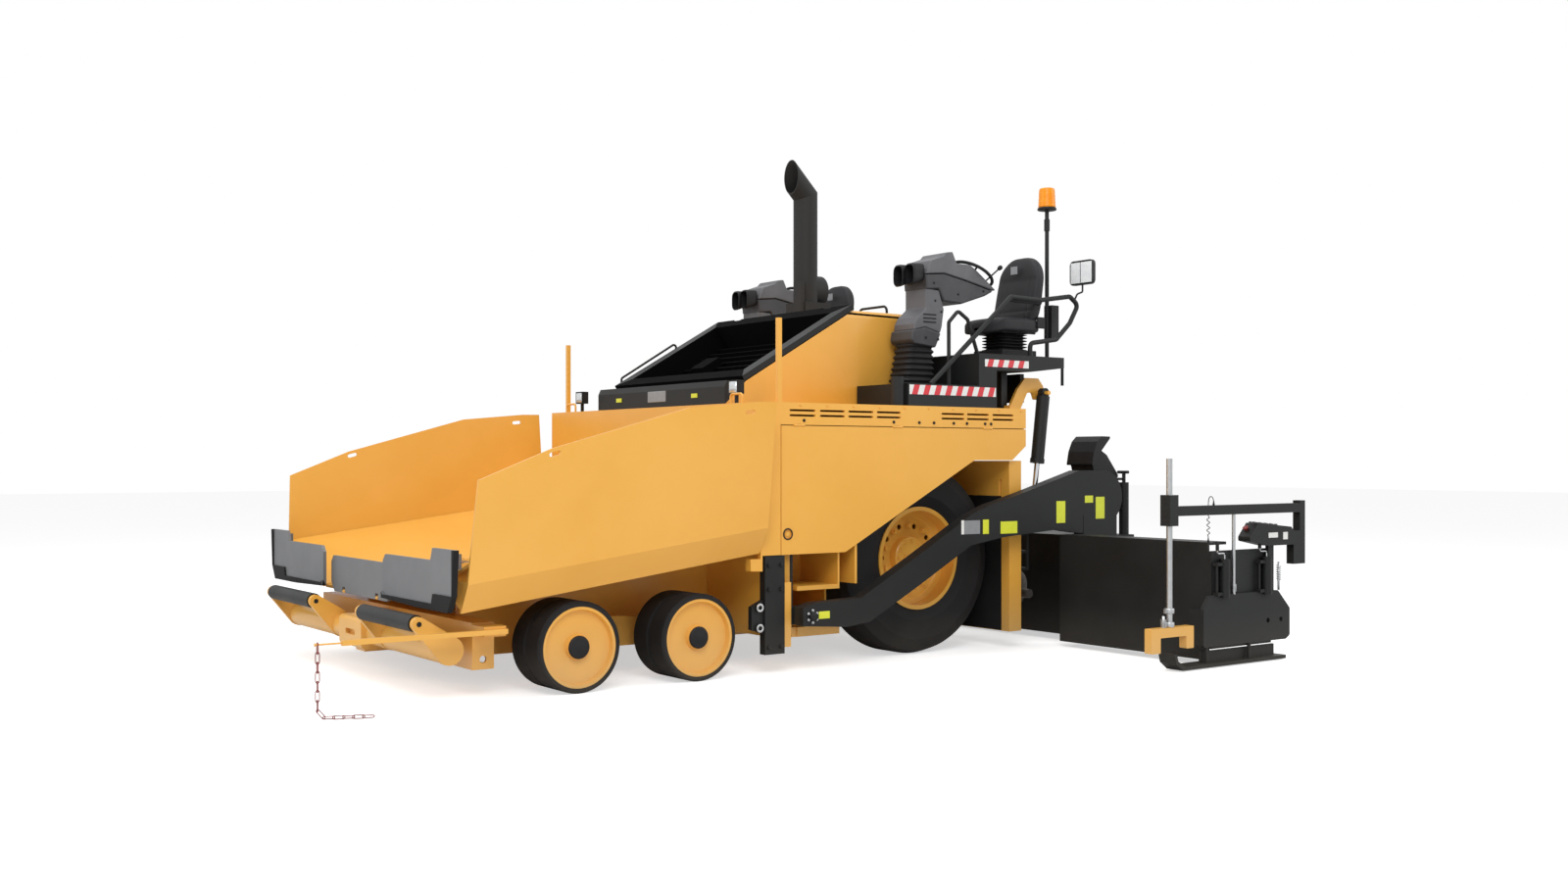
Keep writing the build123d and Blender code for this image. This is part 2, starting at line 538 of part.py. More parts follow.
def wing():
    rear = -WING_LENGTH
    root = cross_plate([(WING_ROOT_Y, 0), (WING_ROOT_Y, WING_T), (WING_CREASE_Y - 8, WING_INNER_H + WING_T),
                        (WING_CREASE_Y - 8, WING_INNER_H - 2)], (rear, 10))
    lean = WING_LEAN * WING_RISE
    wall = cross_plate([(WING_CREASE_Y, WING_CREASE_H), (WING_CREASE_Y + lean, WING_CREASE_H + WING_RISE),
                        (WING_CREASE_Y + lean - WING_T, WING_CREASE_H + WING_RISE),
                        (WING_CREASE_Y - WING_T, WING_CREASE_H)], (rear, 10))
    lip = cross_plate([(WING_CREASE_Y, WING_CREASE_H), (WING_CREASE_Y - WING_T, WING_CREASE_H),
                       (WING_LIP_Y - 14, 8), (WING_LIP_Y, 0)], (rear, 10))
    shape = root + wall + lip
    for k in range(RIB_COUNT):
        x = -8 - k * (WING_LENGTH - 100) / RIB_COUNT
        shape += cross_plate([(WING_LIP_Y - 2, 8), (WING_CREASE_Y - 10, WING_CREASE_H),
                              (WING_CREASE_Y - 10, WING_INNER_H), (1250, 150)], (x - WING_T, x))
    shape += hinge_barrels(1, (WING_PIN_Y, WING_ROOT_Y + 4))
    shape -= rod((10, WING_PIN_Y, FLOOR_T / 2), (rear - 100, WING_PIN_Y, FLOOR_T / 2), WING_PIN_R + PIN_GAP)
    outline = [(HOPPER_FRONT, 300), (HOPPER_FRONT, 720), *WING_TOP, (WING_REAR, 300)]
    shape = on_incline(shape) & side_plate(outline, (0, 2000))
    for x, z, slope in WING_SLOTS:
        slot = Rot(0, slope, 0) * box((-WING_SLOT_L / 2, WING_SLOT_L / 2), (1500, 1900), (-WING_SLOT_R, WING_SLOT_R))
        for end in (-WING_SLOT_L / 2, WING_SLOT_L / 2):
            slot += Rot(0, slope, 0) * cross_rod(end, (1500, 1900), 0, WING_SLOT_R)
        shape -= Pos(x, 0, z) * slot
    return shape


def wing_flap():
    face = (FLAP_X, FLAP_X + FLAP_T)
    plate = cross_plate([(FLAP_IN, 600), (FLAP_IN, 790), (FLAP_IN + 40, 832), (1290, 832), (1320, 905),
                         (FLAP_OUT - 30, 905), (FLAP_OUT - 30, 640), (1350, 640), (1330, 580), (FLAP_IN + 25, 580)], face)
    rubber = cross_plate([(FLAP_IN, 560), (FLAP_IN, 600), (FLAP_IN + 25, 580), (1330, 580), (1350, 640),
                          (FLAP_OUT - 30, 640), (FLAP_OUT - 30, 905), (FLAP_OUT, 905), (FLAP_OUT - 25, 640),
                          (FLAP_OUT - 90, 545), (1100, 545)], (FLAP_X, FLAP_X + RUBBER_T))
    plate += rubber
    for y in (900.0, 1200.0, 1500.0):
        rise = (y - WING_ROOT_Y) * (WING_INNER_H - WING_T) / (WING_CREASE_Y - WING_ROOT_Y)
        plate += box((HOPPER_FRONT, FLAP_X), (y - 12, y + 12), (HOPPER_LOW + rise + 30, HOPPER_LOW + rise + 120))
    return plate


def apron():
    z = APRON_PIN_Z
    middle = APRON_X + APRON_T / 2
    plate = cross_plate([(-APRON_HALF, APRON_LOW + 60), (-APRON_HALF, APRON_HIGH - 40), (-APRON_HALF + 40, APRON_HIGH),
                         (APRON_HALF - 40, APRON_HIGH), (APRON_HALF, APRON_HIGH - 40), (APRON_HALF, APRON_LOW + 60),
                         (APRON_HALF - 60, APRON_LOW), (-APRON_HALF + 60, APRON_LOW)], (APRON_X, APRON_X + APRON_T))
    half = APRON_LUG_T / 2 + SIDE_GAP
    for y in (-APRON_LUG_Y, APRON_LUG_Y):
        plate -= box((APRON_X - 5, APRON_X + APRON_T + 5), (y - half, y + half), (APRON_LOW - 5, z + 30))
        plate += cross_rod(middle, (y - half - 2, y + half + 2), z, APRON_PIN_R)
    return plate


def push_beam():
    tube = cross_rod(BEAM_X, (-BEAM_HALF, BEAM_HALF), BEAM_Z, BEAM_R)
    block = side_plate([(BEAM_X - 90, NOSE_LOW + 31), (BEAM_X + 110, NOSE_LOW + 31), (BEAM_X + 110, NOSE_HIGH - 51),
                        (BEAM_X - 90, NOSE_HIGH - 51)], (-200, 200), 30)
    slot = box((BEAM_X + 80, BEAM_X + 120), (-70, 70), (BEAM_Z - 18, BEAM_Z + 18))
    for y in (-70, 70):
        slot += rod((BEAM_X + 80, y, BEAM_Z), (BEAM_X + 120, y, BEAM_Z), 18)
    shape = tube + block - slot
    for y in BRACKET_YS:
        for side in (-1, 1):
            middle = side * (y - BRACKET_T / 2)
            ys = (middle - BRACKET_T / 2, middle + BRACKET_T / 2)
            plate = link_plate((BEAM_X, BEAM_Z), (ROLLER_X, ROLLER_Z), BEAM_R + 5, 42, ys)
            plate -= cross_rod(ROLLER_X, (ys[0] - 1, ys[1] + 1), ROLLER_Z, ROLLER_PIN_R + PIN_GAP)
            shape += plate
    return shape - upright(BEAM_X, 0, (0, 600), BEAM_PIN_R + PIN_GAP)


def push_roller():
    inner, outer = BRACKET_YS[0], BRACKET_YS[1] - BRACKET_T
    body = cross_rod(ROLLER_X, (inner + SIDE_GAP, outer - SIDE_GAP), ROLLER_Z, ROLLER_R)
    return body + cross_rod(ROLLER_X, (inner - BRACKET_T, outer + BRACKET_T), ROLLER_Z, ROLLER_PIN_R)


# ---------------------------------------------------------------- bodywork

def body_shell():
    low = floor_z(BULKHEAD_X)
    inside = BODY_HALF - SHEET
    front = box((BULKHEAD_X, BULKHEAD_X + SHEET), (-inside, inside), (DOOR_LOW, DECK_Z - SHEET))
    front -= box((BULKHEAD_X - 5, BULKHEAD_X + SHEET + 5), (-FLOOR_HALF, FLOOR_HALF), (low - 100, low + TUNNEL_H + 20))
    deck = box((BODY_REAR, BULKHEAD_X + SHEET), (-inside, inside), (DECK_Z - SHEET, DECK_Z))
    deck -= box((0, FASCIA_X), (-700, 700), (DECK_Z - 2 * SHEET, DECK_Z + 5))
    rear = box((BODY_REAR, BODY_REAR + SHEET), (-inside, inside), (TAIL_LOW + 106, DECK_Z - SHEET))
    for x in BEARER_XS:
        rear += box((x - 40, x + 40), (-FLOOR_HALF, FLOOR_HALF), (ENGINE_LOW - 45, ENGINE_LOW))
    arch = box((FRAME_REAR, ARCH_X), (FLOOR_HALF, inside), (ARCH_Z, ARCH_Z + SHEET))
    arch += box((ARCH_X - SHEET, ARCH_X), (FLOOR_HALF, inside), (STEP_Z + 30, ARCH_Z))
    wall = side_plate([(BULKHEAD_X, floor_z(BULKHEAD_X) + TUNNEL_H + 30), (BULKHEAD_X, DECK_Z - SHEET),
                       (BODY_REAR + SHEET, DECK_Z - SHEET), (BODY_REAR + SHEET, TAIL_LOW + 106),
                       (FRAME_REAR, ARCH_Z + SHEET)], (FLOOR_HALF, FLOOR_HALF + SHEET))
    post = box((DOOR_FRONT - 4, DOOR_FRONT + 26), (BODY_HALF - 30, BODY_HALF), (DECK_Z, 2360))
    guard_x = BULKHEAD_X + SHEET / 2
    guard = bent_tube([(guard_x, 1110, DECK_Z - 5), (guard_x, 1110, DECK_Z + 62), (guard_x, 1250, DECK_Z + 62),
                       (guard_x, 1250, DECK_Z - 5)], 8, 24)
    sides = arch + wall + post + guard
    return front + deck + rear + sides + other_side(sides)


def hinge_rod(x, start, end, z, radius):
    """Round bar on the side door's hinge line, its ends given in knuckle lengths from the hinge's middle."""
    return rod((x + start * KNUCKLE_L, BODY_HALF, z), (x + end * KNUCKLE_L, BODY_HALF, z), radius)


def side_panels():
    strip = box((BODY_REAR, PANEL_FRONT), (BODY_HALF - SHEET, BODY_HALF), (DOOR_TOP + SIDE_GAP, DECK_Z))
    strip += box((DOOR_FRONT + SIDE_GAP, PANEL_FRONT), (BODY_HALF - SHEET, BODY_HALF), (DOOR_LOW, DOOR_TOP + SIDE_GAP))
    for front, back in VENTS:
        for z in VENT_ZS:
            strip -= box((back, front), (BODY_HALF - 2 * SHEET, BODY_HALF + 5), (z - VENT_H / 2, z + VENT_H / 2))
    axis_z = DOOR_TOP + SIDE_GAP / 2
    for x in DOOR_HINGE_XS:
        strip -= hinge_rod(x, -0.5, 0.5, axis_z, DOOR_HINGE_R + 1.5)
        strip += hinge_rod(x, -1.5, -0.5, axis_z, DOOR_HINGE_R) + hinge_rod(x, 0.5, 1.5, axis_z, DOOR_HINGE_R)
        strip += hinge_rod(x, -1.5, 1.5, axis_z, DOOR_HINGE_PIN_R)
    wing_clear = WING_REAR - 10
    cheek = side_plate([(wing_clear, 935), (PANEL_FRONT, 935), (PANEL_FRONT, 682), (1475, 687), (1475, 765),
                        (wing_clear, 765)], (BODY_HALF - 60, BODY_HALF))
    return both(strip + cheek)


def side_door():
    panel = side_plate(DOOR_OUTLINE, (BODY_HALF - SHEET, BODY_HALF))
    panel -= cross_rod(LATCH_X, (BODY_HALF - 8, BODY_HALF + 1), LATCH_Z, LATCH_R)
    panel += cross_rod(LATCH_X, (BODY_HALF - 9, BODY_HALF - 2), LATCH_Z, LATCH_R / 2)
    axis_z = DOOR_TOP + SIDE_GAP / 2
    trim = 1.0 / KNUCKLE_L
    for x in DOOR_HINGE_XS:
        for start, end in ((-1.5 - trim, -0.5), (0.5, 1.5 + trim)):
            panel -= hinge_rod(x, start, end, axis_z, DOOR_HINGE_R + 1.5)
        panel += hinge_rod(x, -0.5 + trim, 0.5 - trim, axis_z, DOOR_HINGE_R)
        panel -= hinge_rod(x, -1.5 - trim, 1.5 + trim, axis_z, DOOR_HINGE_PIN_R + PIN_GAP)
    return panel


def engine():
    return box((ENGINE_REAR, ENGINE_FRONT), (-ENGINE_HALF, ENGINE_HALF), (ENGINE_LOW, ENGINE_TOP))


def hood_plan(inset):
    """The hood's plan with its rounded rear corners, set in from the outside."""
    half = HOOD_HALF - inset
    plan = Polygon((HOOD_FRONT - inset, -half), (HOOD_FRONT - inset, half), (HOOD_REAR + inset, half),
                   (HOOD_REAR + inset, -half), align=None)
    return fillet(plan.vertices().group_by(Axis.X)[0], HOOD_CORNER_R - inset)


def hood():
    outer = extrude(Pos(0, 0, DECK_Z) * hood_plan(0), amount=HOOD_TOP - DECK_Z)
    rear_edges = outer.faces().sort_by(Axis.Z)[-1].edges().sort_by(Axis.X)[:3]
    outer = fillet(rear_edges, 60)
    inner = extrude(Pos(0, 0, DECK_Z - 5) * hood_plan(SHEET), amount=HOOD_TOP - DECK_Z - SHEET)
    cut = side_plate([(HOOD_CREST_X, HOOD_TOP + 5), (HOOD_CREST_X, HOOD_TOP), (FASCIA_X, FASCIA_TOP),
                      (HOOD_FRONT - SHEET, FASCIA_TOP), (HOOD_FRONT + 50, DECK_Z + 20), (HOOD_FRONT + 50, HOOD_TOP + 5)],
                     (-HOOD_HALF - 50, HOOD_HALF + 50))
    shell = outer - inner - cut
    shelf = box((FASCIA_X, HOOD_FRONT - SHEET), (-HOOD_HALF + SHEET, HOOD_HALF - SHEET),
                (FASCIA_TOP - SHEET, FASCIA_TOP))
    whole = shell + shelf
    for y in LID_HINGE_YS:
        for end in (y - 48, y + 32):
            whole += box((LID_HINGE_X - 14, LID_HINGE_X + 8), (end, end + 16), (HOOD_TOP - SHEET, LID_HINGE_Z))
            whole += cross_rod(LID_HINGE_X, (end, end + 16), LID_HINGE_Z, LID_HINGE_R)
        whole += cross_rod(LID_HINGE_X, (y - 48, y + 48), LID_HINGE_Z, LID_PIN_R)
    return whole


def hood_grille():
    low = SIDE_GAP
    length = SLOPE_LENGTH
    half = HOOD_HALF
    frame = box((-length, 10), (-half, half), (low, low + INTAKE_RISE))
    for y in LID_HINGE_YS:
        frame -= box((-length - 1, -length + 22), (y - 54, y + 54), (low - 1, low + INTAKE_RISE + 1))
        frame += box((LID_HINGE_LX, -length + 24), (y - 28, y + 28), (LID_HINGE_LZ - 8, LID_HINGE_LZ + 8))
        frame += cross_rod(LID_HINGE_LX, (y - 28, y + 28), LID_HINGE_LZ, LID_HINGE_R)
        frame -= cross_rod(LID_HINGE_LX, (y - 54, y + 54), LID_HINGE_LZ, LID_PIN_R + PIN_GAP)
    well_x = (-length + INTAKE_RIM, -INTAKE_RIM + 20)
    well_y = half - INTAKE_RIM
    tray = box(well_x, (-well_y, well_y), (-INTAKE_DEPTH, low + INTAKE_RISE / 2))
    hollow = box((well_x[0] + INTAKE_WALL, well_x[1] - INTAKE_WALL), (-well_y + INTAKE_WALL, well_y - INTAKE_WALL),
                 (-INTAKE_DEPTH - 5, low + INTAKE_RISE + 5))
    bars = Part()
    pitch = (well_x[1] - well_x[0]) / (INTAKE_BARS + 1)
    for k in range(INTAKE_BARS):
        x = well_x[0] + (k + 1) * pitch
        bars += box((x - 8, x + 8), (-well_y + 5, well_y - 5), (-INTAKE_DEPTH, -INTAKE_DEPTH + 30))
    ledge = box((-620, -440), (-480, -300), (-INTAKE_DEPTH + 20, -INTAKE_DEPTH + 90))
    return on_slope(frame + tray - hollow + bars + ledge)


def exhaust():
    reach = 2 * (STACK_MOUTH_X - STACK_X)
    knee = Vector(STACK_X, STACK_Y, STACK_BEND_Z)
    tip = knee + Vector(reach, 0, reach)
    path = Polyline((STACK_X, STACK_Y, HOOD_TOP), knee, tip)
    pipe = sweep(Plane.XY.move(Location((STACK_X, STACK_Y, HOOD_TOP))) * Circle(STACK_R), path=path,
                 transition=Transition.RIGHT)
    pipe -= box((STACK_MOUTH_X, tip.X + 2 * STACK_R), (STACK_Y - 2 * STACK_R, STACK_Y + 2 * STACK_R),
                (STACK_BEND_Z - STACK_R, tip.Z + 2 * STACK_R))
    pipe -= rod(tuple(knee + Vector(STACK_R / 2, 0, STACK_R / 2)), tuple(tip), STACK_R - STACK_WALL)
    drum_x = (STACK_X - 190, STACK_X - 60)
    drum = rod((drum_x[0], STACK_Y - 60, HOOD_TOP + 300), (drum_x[1], STACK_Y - 60, HOOD_TOP + 300), 130)
    case = box((STACK_X - 180, STACK_X + 90), (STACK_Y - 150, STACK_Y + 120), (HOOD_TOP, HOOD_TOP + 190))
    plate = box((STACK_X + 90, STACK_X + 130), (STACK_Y + 20, STACK_Y + 110), (HOOD_TOP, HOOD_TOP + 360))
    return pipe + drum + case + plate


# ---------------------------------------------------------------- operator stations

def platforms():
    rear, front = LOWER_STEP
    low = box((rear, front), (STATION_IN + 120, BODY_HALF), (DECK_Z, LOWER_STEP_Z))
    rear, front = UPPER_STEP
    high = side_plate([(rear, UPPER_STEP_Z - UPPER_STEP_T + 40), (rear, UPPER_STEP_Z), (front, UPPER_STEP_Z),
                       (front, UPPER_STEP_Z - UPPER_STEP_T), (-1100, UPPER_STEP_Z - UPPER_STEP_T)],
                      (STATION_IN, BODY_HALF))
    riser = box((LOWER_STEP[0], front), (STATION_IN + 120, BODY_HALF), (LOWER_STEP_Z, UPPER_STEP_Z - UPPER_STEP_T))
    back = box((BODY_REAR, BODY_REAR + 60), (STATION_IN + 120, 1300), (DECK_Z, UPPER_STEP_Z - UPPER_STEP_T))
    skirt = box((-1260, -1220), (STATION_IN + 120, 1260), (1860, UPPER_STEP_Z - UPPER_STEP_T))
    skirt += box((-1260, BODY_REAR), (STATION_IN + 120, STATION_IN + 150), (1860, UPPER_STEP_Z - UPPER_STEP_T))
    stub = upright(170, BODY_HALF - 60, (DECK_Z, 2006), 45)
    return both(group(low + high + riser + back + skirt, stub))


def consoles():
    middle, half = CONSOLE_Y, CONSOLE_W / 2
    column = loft([Pos(-270, middle, LOWER_STEP_Z) * Rectangle(320, 2 * half),
                   Pos(-300, middle, 2300) * Rectangle(230, 2 * half - 30)])
    lower = side_plate([(-190, 2280), (-400, 2250), (-470, 2410), (-490, 2540), (-440, 2680), (-310, 2690),
                        (-310, 2540), (-230, 2470), (-200, 2330)], (middle - half + 10, middle + half - 10), 18)
    upper = side_plate([(-310, 2680), (-430, 2690), (-470, 2900), (-500, 2965), (-560, 2975), (-600, 2890), (-740, 2890),
                        (-820, 2840), (-1000, 2715), (-900, 2665), (-660, 2590), (-480, 2600)],
                       (middle - half - 10, middle + half + 10), 12)
    display = side_plate([(-200, 2720), (-240, 2830), (-350, 2915), (-470, 2930), (-480, 2860), (-360, 2700), (-300, 2670)],
                         (middle - half - 60, middle + half + 60), 16)
    hub = Vector(-875, middle, 2840)
    lean = Vector(-0.5, 0, 0.87)
    plane = Plane(origin=hub, z_dir=lean)
    wheel = plane * Solid.make_torus(170, 13)
    wheel += Solid.make_cylinder(42, 24, Plane(origin=hub - lean * 14, z_dir=lean))
    for k in range(3):
        turn = math.radians(120 * k + 90)
        end = plane.from_local_coords(Vector(168 * math.cos(turn), 168 * math.sin(turn), 0))
        wheel += rod(hub, end, 9)
    stem = rod(hub - lean * 120, hub, 26)
    lever = rod((-900, middle + 60, 2740), (-1020, middle + 170, 2890), 8)
    return both(column + lower + upper + display + stem + wheel + lever)


def seats():
    low, high = SEAT_Y - SEAT_W / 2, SEAT_Y + SEAT_W / 2
    base = box((-1330, -960), (low + 60, high - 60), (UPPER_STEP_Z, 2260))
    bellows = Part()
    for k in range(4):
        bellows += box((-1310 + 4 * k, -980 - 4 * k), (low + 80, high - 80), (2260 + 28 * k, 2260 + 28 * k + 20))
        bellows += box((-1290, -1000), (low + 100, high - 100), (2260 + 28 * k + 18, 2290 + 28 * k))
    pan = side_plate([(-1360, 2372), (-1360, 2440), (-1260, 2500), (-900, 2520), (-850, 2480), (-870, 2400), (-960, 2372)],
                     (low, high), 24)
    rise = cross_plate([(low, 2440), (low + 10, 2700), (low + 75, 2960), (low + 110, 2992), (high - 110, 2992),
                        (high - 75, 2960), (high - 10, 2700), (high, 2440)], (-1500, -1000), 28)
    lean = side_plate([(-1180, 2430), (-1240, 2560), (-1235, 2700), (-1275, 3000), (-1375, 3000), (-1345, 2650),
                       (-1360, 2430)], (low, high), 20)
    arm = side_plate([(-960, 2640), (-960, 2600), (-1300, 2600), (-1300, 2640)], (high + 5, high + 45), 12)
    arm += cross_rod(-1290, (high - 5, high + 30), 2620, 18)
    return both(base + bellows + pan + (rise & lean) + arm)


def handrails():
    y = RAIL_TUBE_Y
    rails = [
        [(-120, y, LOWER_STEP_Z), (-918, y, 2638), (-1228, y, 2632), (-1549, y, 2680), (-1640, y, 2620), (-1549, y, 2474),
         (-1400, y, 2340), (-1120, y, 2300), (-1120, y, UPPER_STEP_Z)],
        [(-335, y - 45, LOWER_STEP_Z), (-335, y - 45, 2420), (-425, y - 45, 2507), (-520, y - 45, 2450),
         (-620, y - 45, UPPER_STEP_Z)],
        [(UPPER_STEP[0], 1300, 2182), (-1640, 1300, 2182), (-1640, 1300, 2000)],
    ]
    tubes = [bent_tube(rails[0], TUBE_R, 40), bent_tube(rails[1], 14, 30), bent_tube(rails[2], 12, 40)]
    tubes[0] -= box((-300, 0), (y - 50, y + 50), (LOWER_STEP_Z - 60, LOWER_STEP_Z))
    tubes[1] -= box((-700, UPPER_STEP[1]), (y - 90, y), (UPPER_STEP_Z - 60, UPPER_STEP_Z))
    work_lamp = box((1290, 1345), (1045, 1155), (DECK_Z + 65, DECK_Z + 160))
    work_lamp += box((1305, 1325), (1090, 1110), (DECK_Z, DECK_Z + 65))
    mirrored = group(*tubes, work_lamp)
    mast = upright(MAST_X, MAST_Y, (UPPER_STEP_Z, MAST_TOP), 16)
    mast += upright(MAST_X, MAST_Y, (3200, 3290), 22)
    mast += box((MAST_X - 90, MAST_X - 10), (MAST_Y - 40, MAST_Y + 40), (2350, 2620))
    grab_y = -HOOD_HALF - 52
    grab = bent_tube([(1040, -HOOD_HALF, 1960), (1040, grab_y, 1960), (1040, grab_y, 2071), (526, grab_y, 2378),
                      (526, grab_y, 2250), (526, -HOOD_HALF, 2250)], 9, 22)
    hoop = bent_tube([(HOOD_REAR + 110, 190, HOOD_TOP), (HOOD_REAR + 110, 190, HOOD_TOP + 95),
                      (HOOD_REAR + 110, 530, HOOD_TOP + 95), (HOOD_REAR + 110, 530, HOOD_TOP)], 10, 40)
    arm = bent_tube([(-1600, y, 2650), (-1600, y + 30, 2700), (-1660, y + 30, 2720), (-1660, y + 30, 2790)], 7, 16)
    mirror_case = box((-1675, -1645), (y - 90, y + 150), (2775, 2965))
    mirror_case = fillet(mirror_case.edges().filter_by(Axis.X), 35)
    step = box((930, 1110), (HOOD_HALF + 60, HOOD_HALF + 160), (DECK_Z, DECK_Z + 12))
    return group(both(mirrored), mast, grab, hoop, arm + mirror_case, step)


def beacon():
    base = upright(MAST_X, MAST_Y, (MAST_TOP, MAST_TOP + 20), BEACON_R + 8)
    lens = loft([Pos(MAST_X, MAST_Y, MAST_TOP + 20) * Circle(BEACON_R),
                 Pos(MAST_X, MAST_Y, MAST_TOP + 20 + BEACON_H) * Circle(BEACON_R - 5)])
    return base + fillet(lens.edges().sort_by(Axis.Z)[-1:], 14)


def rear_frame():
    out = BODY_HALF - 40
    plate = box((FRAME_REAR - 40, FRAME_REAR - 40 + REAR_POST_T), (RAIL_OUT, out), (130, TAIL_LOW - 4))
    for z in (480.0, 1180.0):
        plate -= box((FRAME_REAR - 50, FRAME_REAR), (out - 110, out - 85), (z - 90, z + 90))
    flange = box((-1030, FRAME_REAR - 40), (out - 20, out), (130, TAIL_LOW - 4))
    hook = side_plate([(-1000, DECK_Z - 30), (-1110, 1960), (-1190, 2045), (-1330, 2045), (-1385, 1985), (-1385, 1880),
                       (-1290, 1880), (-1270, 1935), (-1210, 1930), (-1120, DECK_Z - 30)], (LIFT_Y - 80, LIFT_Y - 56), 18)
    hook &= box((-1500, -900), (1000, 1500), (DECK_Z, 2100))
    hook += cross_rod(LIFT_TOP[0], (LIFT_Y - 70, LIFT_Y + 60), LIFT_TOP[1], LIFT_PIN_R)
    foot = box((BODY_REAR, -990), (LIFT_Y - 80, LIFT_Y - 20), (DECK_Z, DECK_Z + 30))
    return both(group(plate + flange, hook + foot))


def tow_plates():
    plate = side_plate([(PLATE_REAR, 130), (PLATE_REAR, DOOR_LOW - 4), (PLATE_FRONT, DOOR_LOW - 4), (PLATE_FRONT, 130)],
                       (BODY_HALF - 60, BODY_HALF))
    cheek = side_plate([(PLATE_FRONT, 270), (PLATE_FRONT + 95, 300), (PLATE_FRONT + 95, 450), (PLATE_FRONT, 490)],
                       (BODY_HALF - 58, BODY_HALF - 18))
    for z in (309.0, 444.0):
        cheek += cross_rod(PLATE_FRONT + 40, (BODY_HALF - 20, BODY_HALF), z, 30)
        cheek -= cross_rod(PLATE_FRONT + 40, (BODY_HALF - 6, BODY_HALF + 1), z, 14)
    pin = cross_rod(TOW_X, (BODY_HALF - 60, ARM_OUT + 10), TOW_Z, TOW_PIN_R)
    slide = side_plate([(TOW_X - 70, TOW_Z - 60), (TOW_X - 70, TOW_Z + 60), (PLATE_REAR - 60, TOW_Z + 60),
                        (PLATE_REAR - 60, TOW_Z - 60)], (BODY_HALF - 60, BODY_HALF - 10))
    guide = upright(1125, BODY_HALF - 30, (TOW_Z + 50, DOOR_LOW), 10)
    return both(group(plate + cheek, slide + pin + guide))


# ---------------------------------------------------------------- screed

def tow_arms():
    arm = side_plate([(TOW_X + 80, 315), (TOW_X + 80, 435), (TOW_X - 20, 462), (640, 476), (120, 748), (-378, 1020),
                      (-560, 1085), (-900, 1170), (-1497, 1335), (-1540, 1335), (-1540, 858), (-1497, 858),
                      (-1250, 890), (-700, 850), (-378, 800), (100, 545), (560, 310), (760, 287)], (ARM_IN, ARM_OUT), 10)
    arm -= cross_rod(TOW_X, (ARM_IN - 5, ARM_OUT + 5), TOW_Z, TOW_PIN_R + PIN_GAP)
    shoulder = box((-1760, -1540), (ARM_IN, ARM_OUT), (990, 1335))
    shoulder += cross_rod(-1775, (ARM_IN, ARM_OUT), 1130, 205)
    shoulder += box((YOKE_REAR + 200, -1545), (ARM_IN, ARM_OUT), (SCREED_TOP, 1010))
    lug = box((LIFT_EYE[0] - 40, LIFT_EYE[0] + 40), (LIFT_Y + 52, ARM_IN), (LIFT_EYE[1] - 60, LIFT_EYE[1] + 40))
    lug += cross_rod(LIFT_EYE[0], (LIFT_Y - 40, LIFT_Y + 52), LIFT_EYE[1], EYE_PIN_R)
    return both(arm + shoulder + lug)


def screed():
    half = SCREED_HALF
    skin = side_plate([(SCREED_FRONT, SCREED_LOW), (SCREED_FRONT, SCREED_TOP), (SCREED_BACK, SCREED_TOP),
                       (SCREED_BACK, SCREED_LOW)], (-half, half))
    skin -= side_plate([(SCREED_FRONT - SHEET, SCREED_LOW + SHEET), (SCREED_FRONT - SHEET, SCREED_TOP - SHEET),
                        (SCREED_BACK - 5, SCREED_TOP - SHEET), (SCREED_BACK - 5, 600), (SCREED_BACK + SHEET, 600),
                        (SCREED_BACK + SHEET, SCREED_LOW + SHEET)], (-half - 5, half + 5))
    shape = skin
    for y in (-half + SHEET / 2, -920, -460, 0, 460, 920, half - SHEET / 2):
        shape += box((SCREED_BACK, SCREED_FRONT), (y - SHEET / 2, y + SHEET / 2), (SCREED_LOW, SCREED_TOP))
    for x in GUIDE_XS.values():
        shape -= cross_rod(x, (-half - 5, half + 5), GUIDE_Z, GUIDE_R + PIN_GAP)
    yoke = box((YOKE_REAR, YOKE_FRONT), (-ARM_OUT, ARM_OUT), (SCREED_TOP - YOKE_T, SCREED_TOP))
    walk = box((-REAR_REACH, SCREED_BACK), (-half, half), (WALKWAY_Z - 20, WALKWAY_Z))
    walk += box((-REAR_REACH, -REAR_REACH + 20), (-half, half), (WALKWAY_Z - 20, WALKWAY_Z + 40))
    for y in (-half + 20, -460, 460, half - 20):
        walk += side_plate([(SCREED_BACK, 180), (SCREED_BACK, WALKWAY_Z - 20), (-REAR_REACH + 60, WALKWAY_Z - 20)],
                           (y - 10, y + 10))
    return shape + yoke + walk


def screed_consoles():
    post = box((-1930, -1870), (1400, 1450), (SCREED_TOP, 1262))
    tray = box((-2110, -1780), (1250, ARM_IN - SIDE_GAP), (1255, 1275))
    case = side_plate([(-1800, 1275), (-1760, 1400), (-1850, 1500), (-1930, 1455), (-2060, 1300), (-2060, 1275)],
                      (1270, 1500), 14)
    visor = side_plate([(-1740, 1372), (-1762, 1480), (-1800, 1560), (-1850, 1602), (-1960, 1600), (-1900, 1540),
                        (-1850, 1490), (-1775, 1380)], (1250, 1520), 10)
    crank = upright(-2060, 1560, (SCREED_TOP, 1240), 38) + upright(-2060, 1560, (1240, 1320), 14)
    crank += cross_rod(-2060, (1500, 1605), 1320, 12)
    return both(group(post + tray + case + visor, crank))


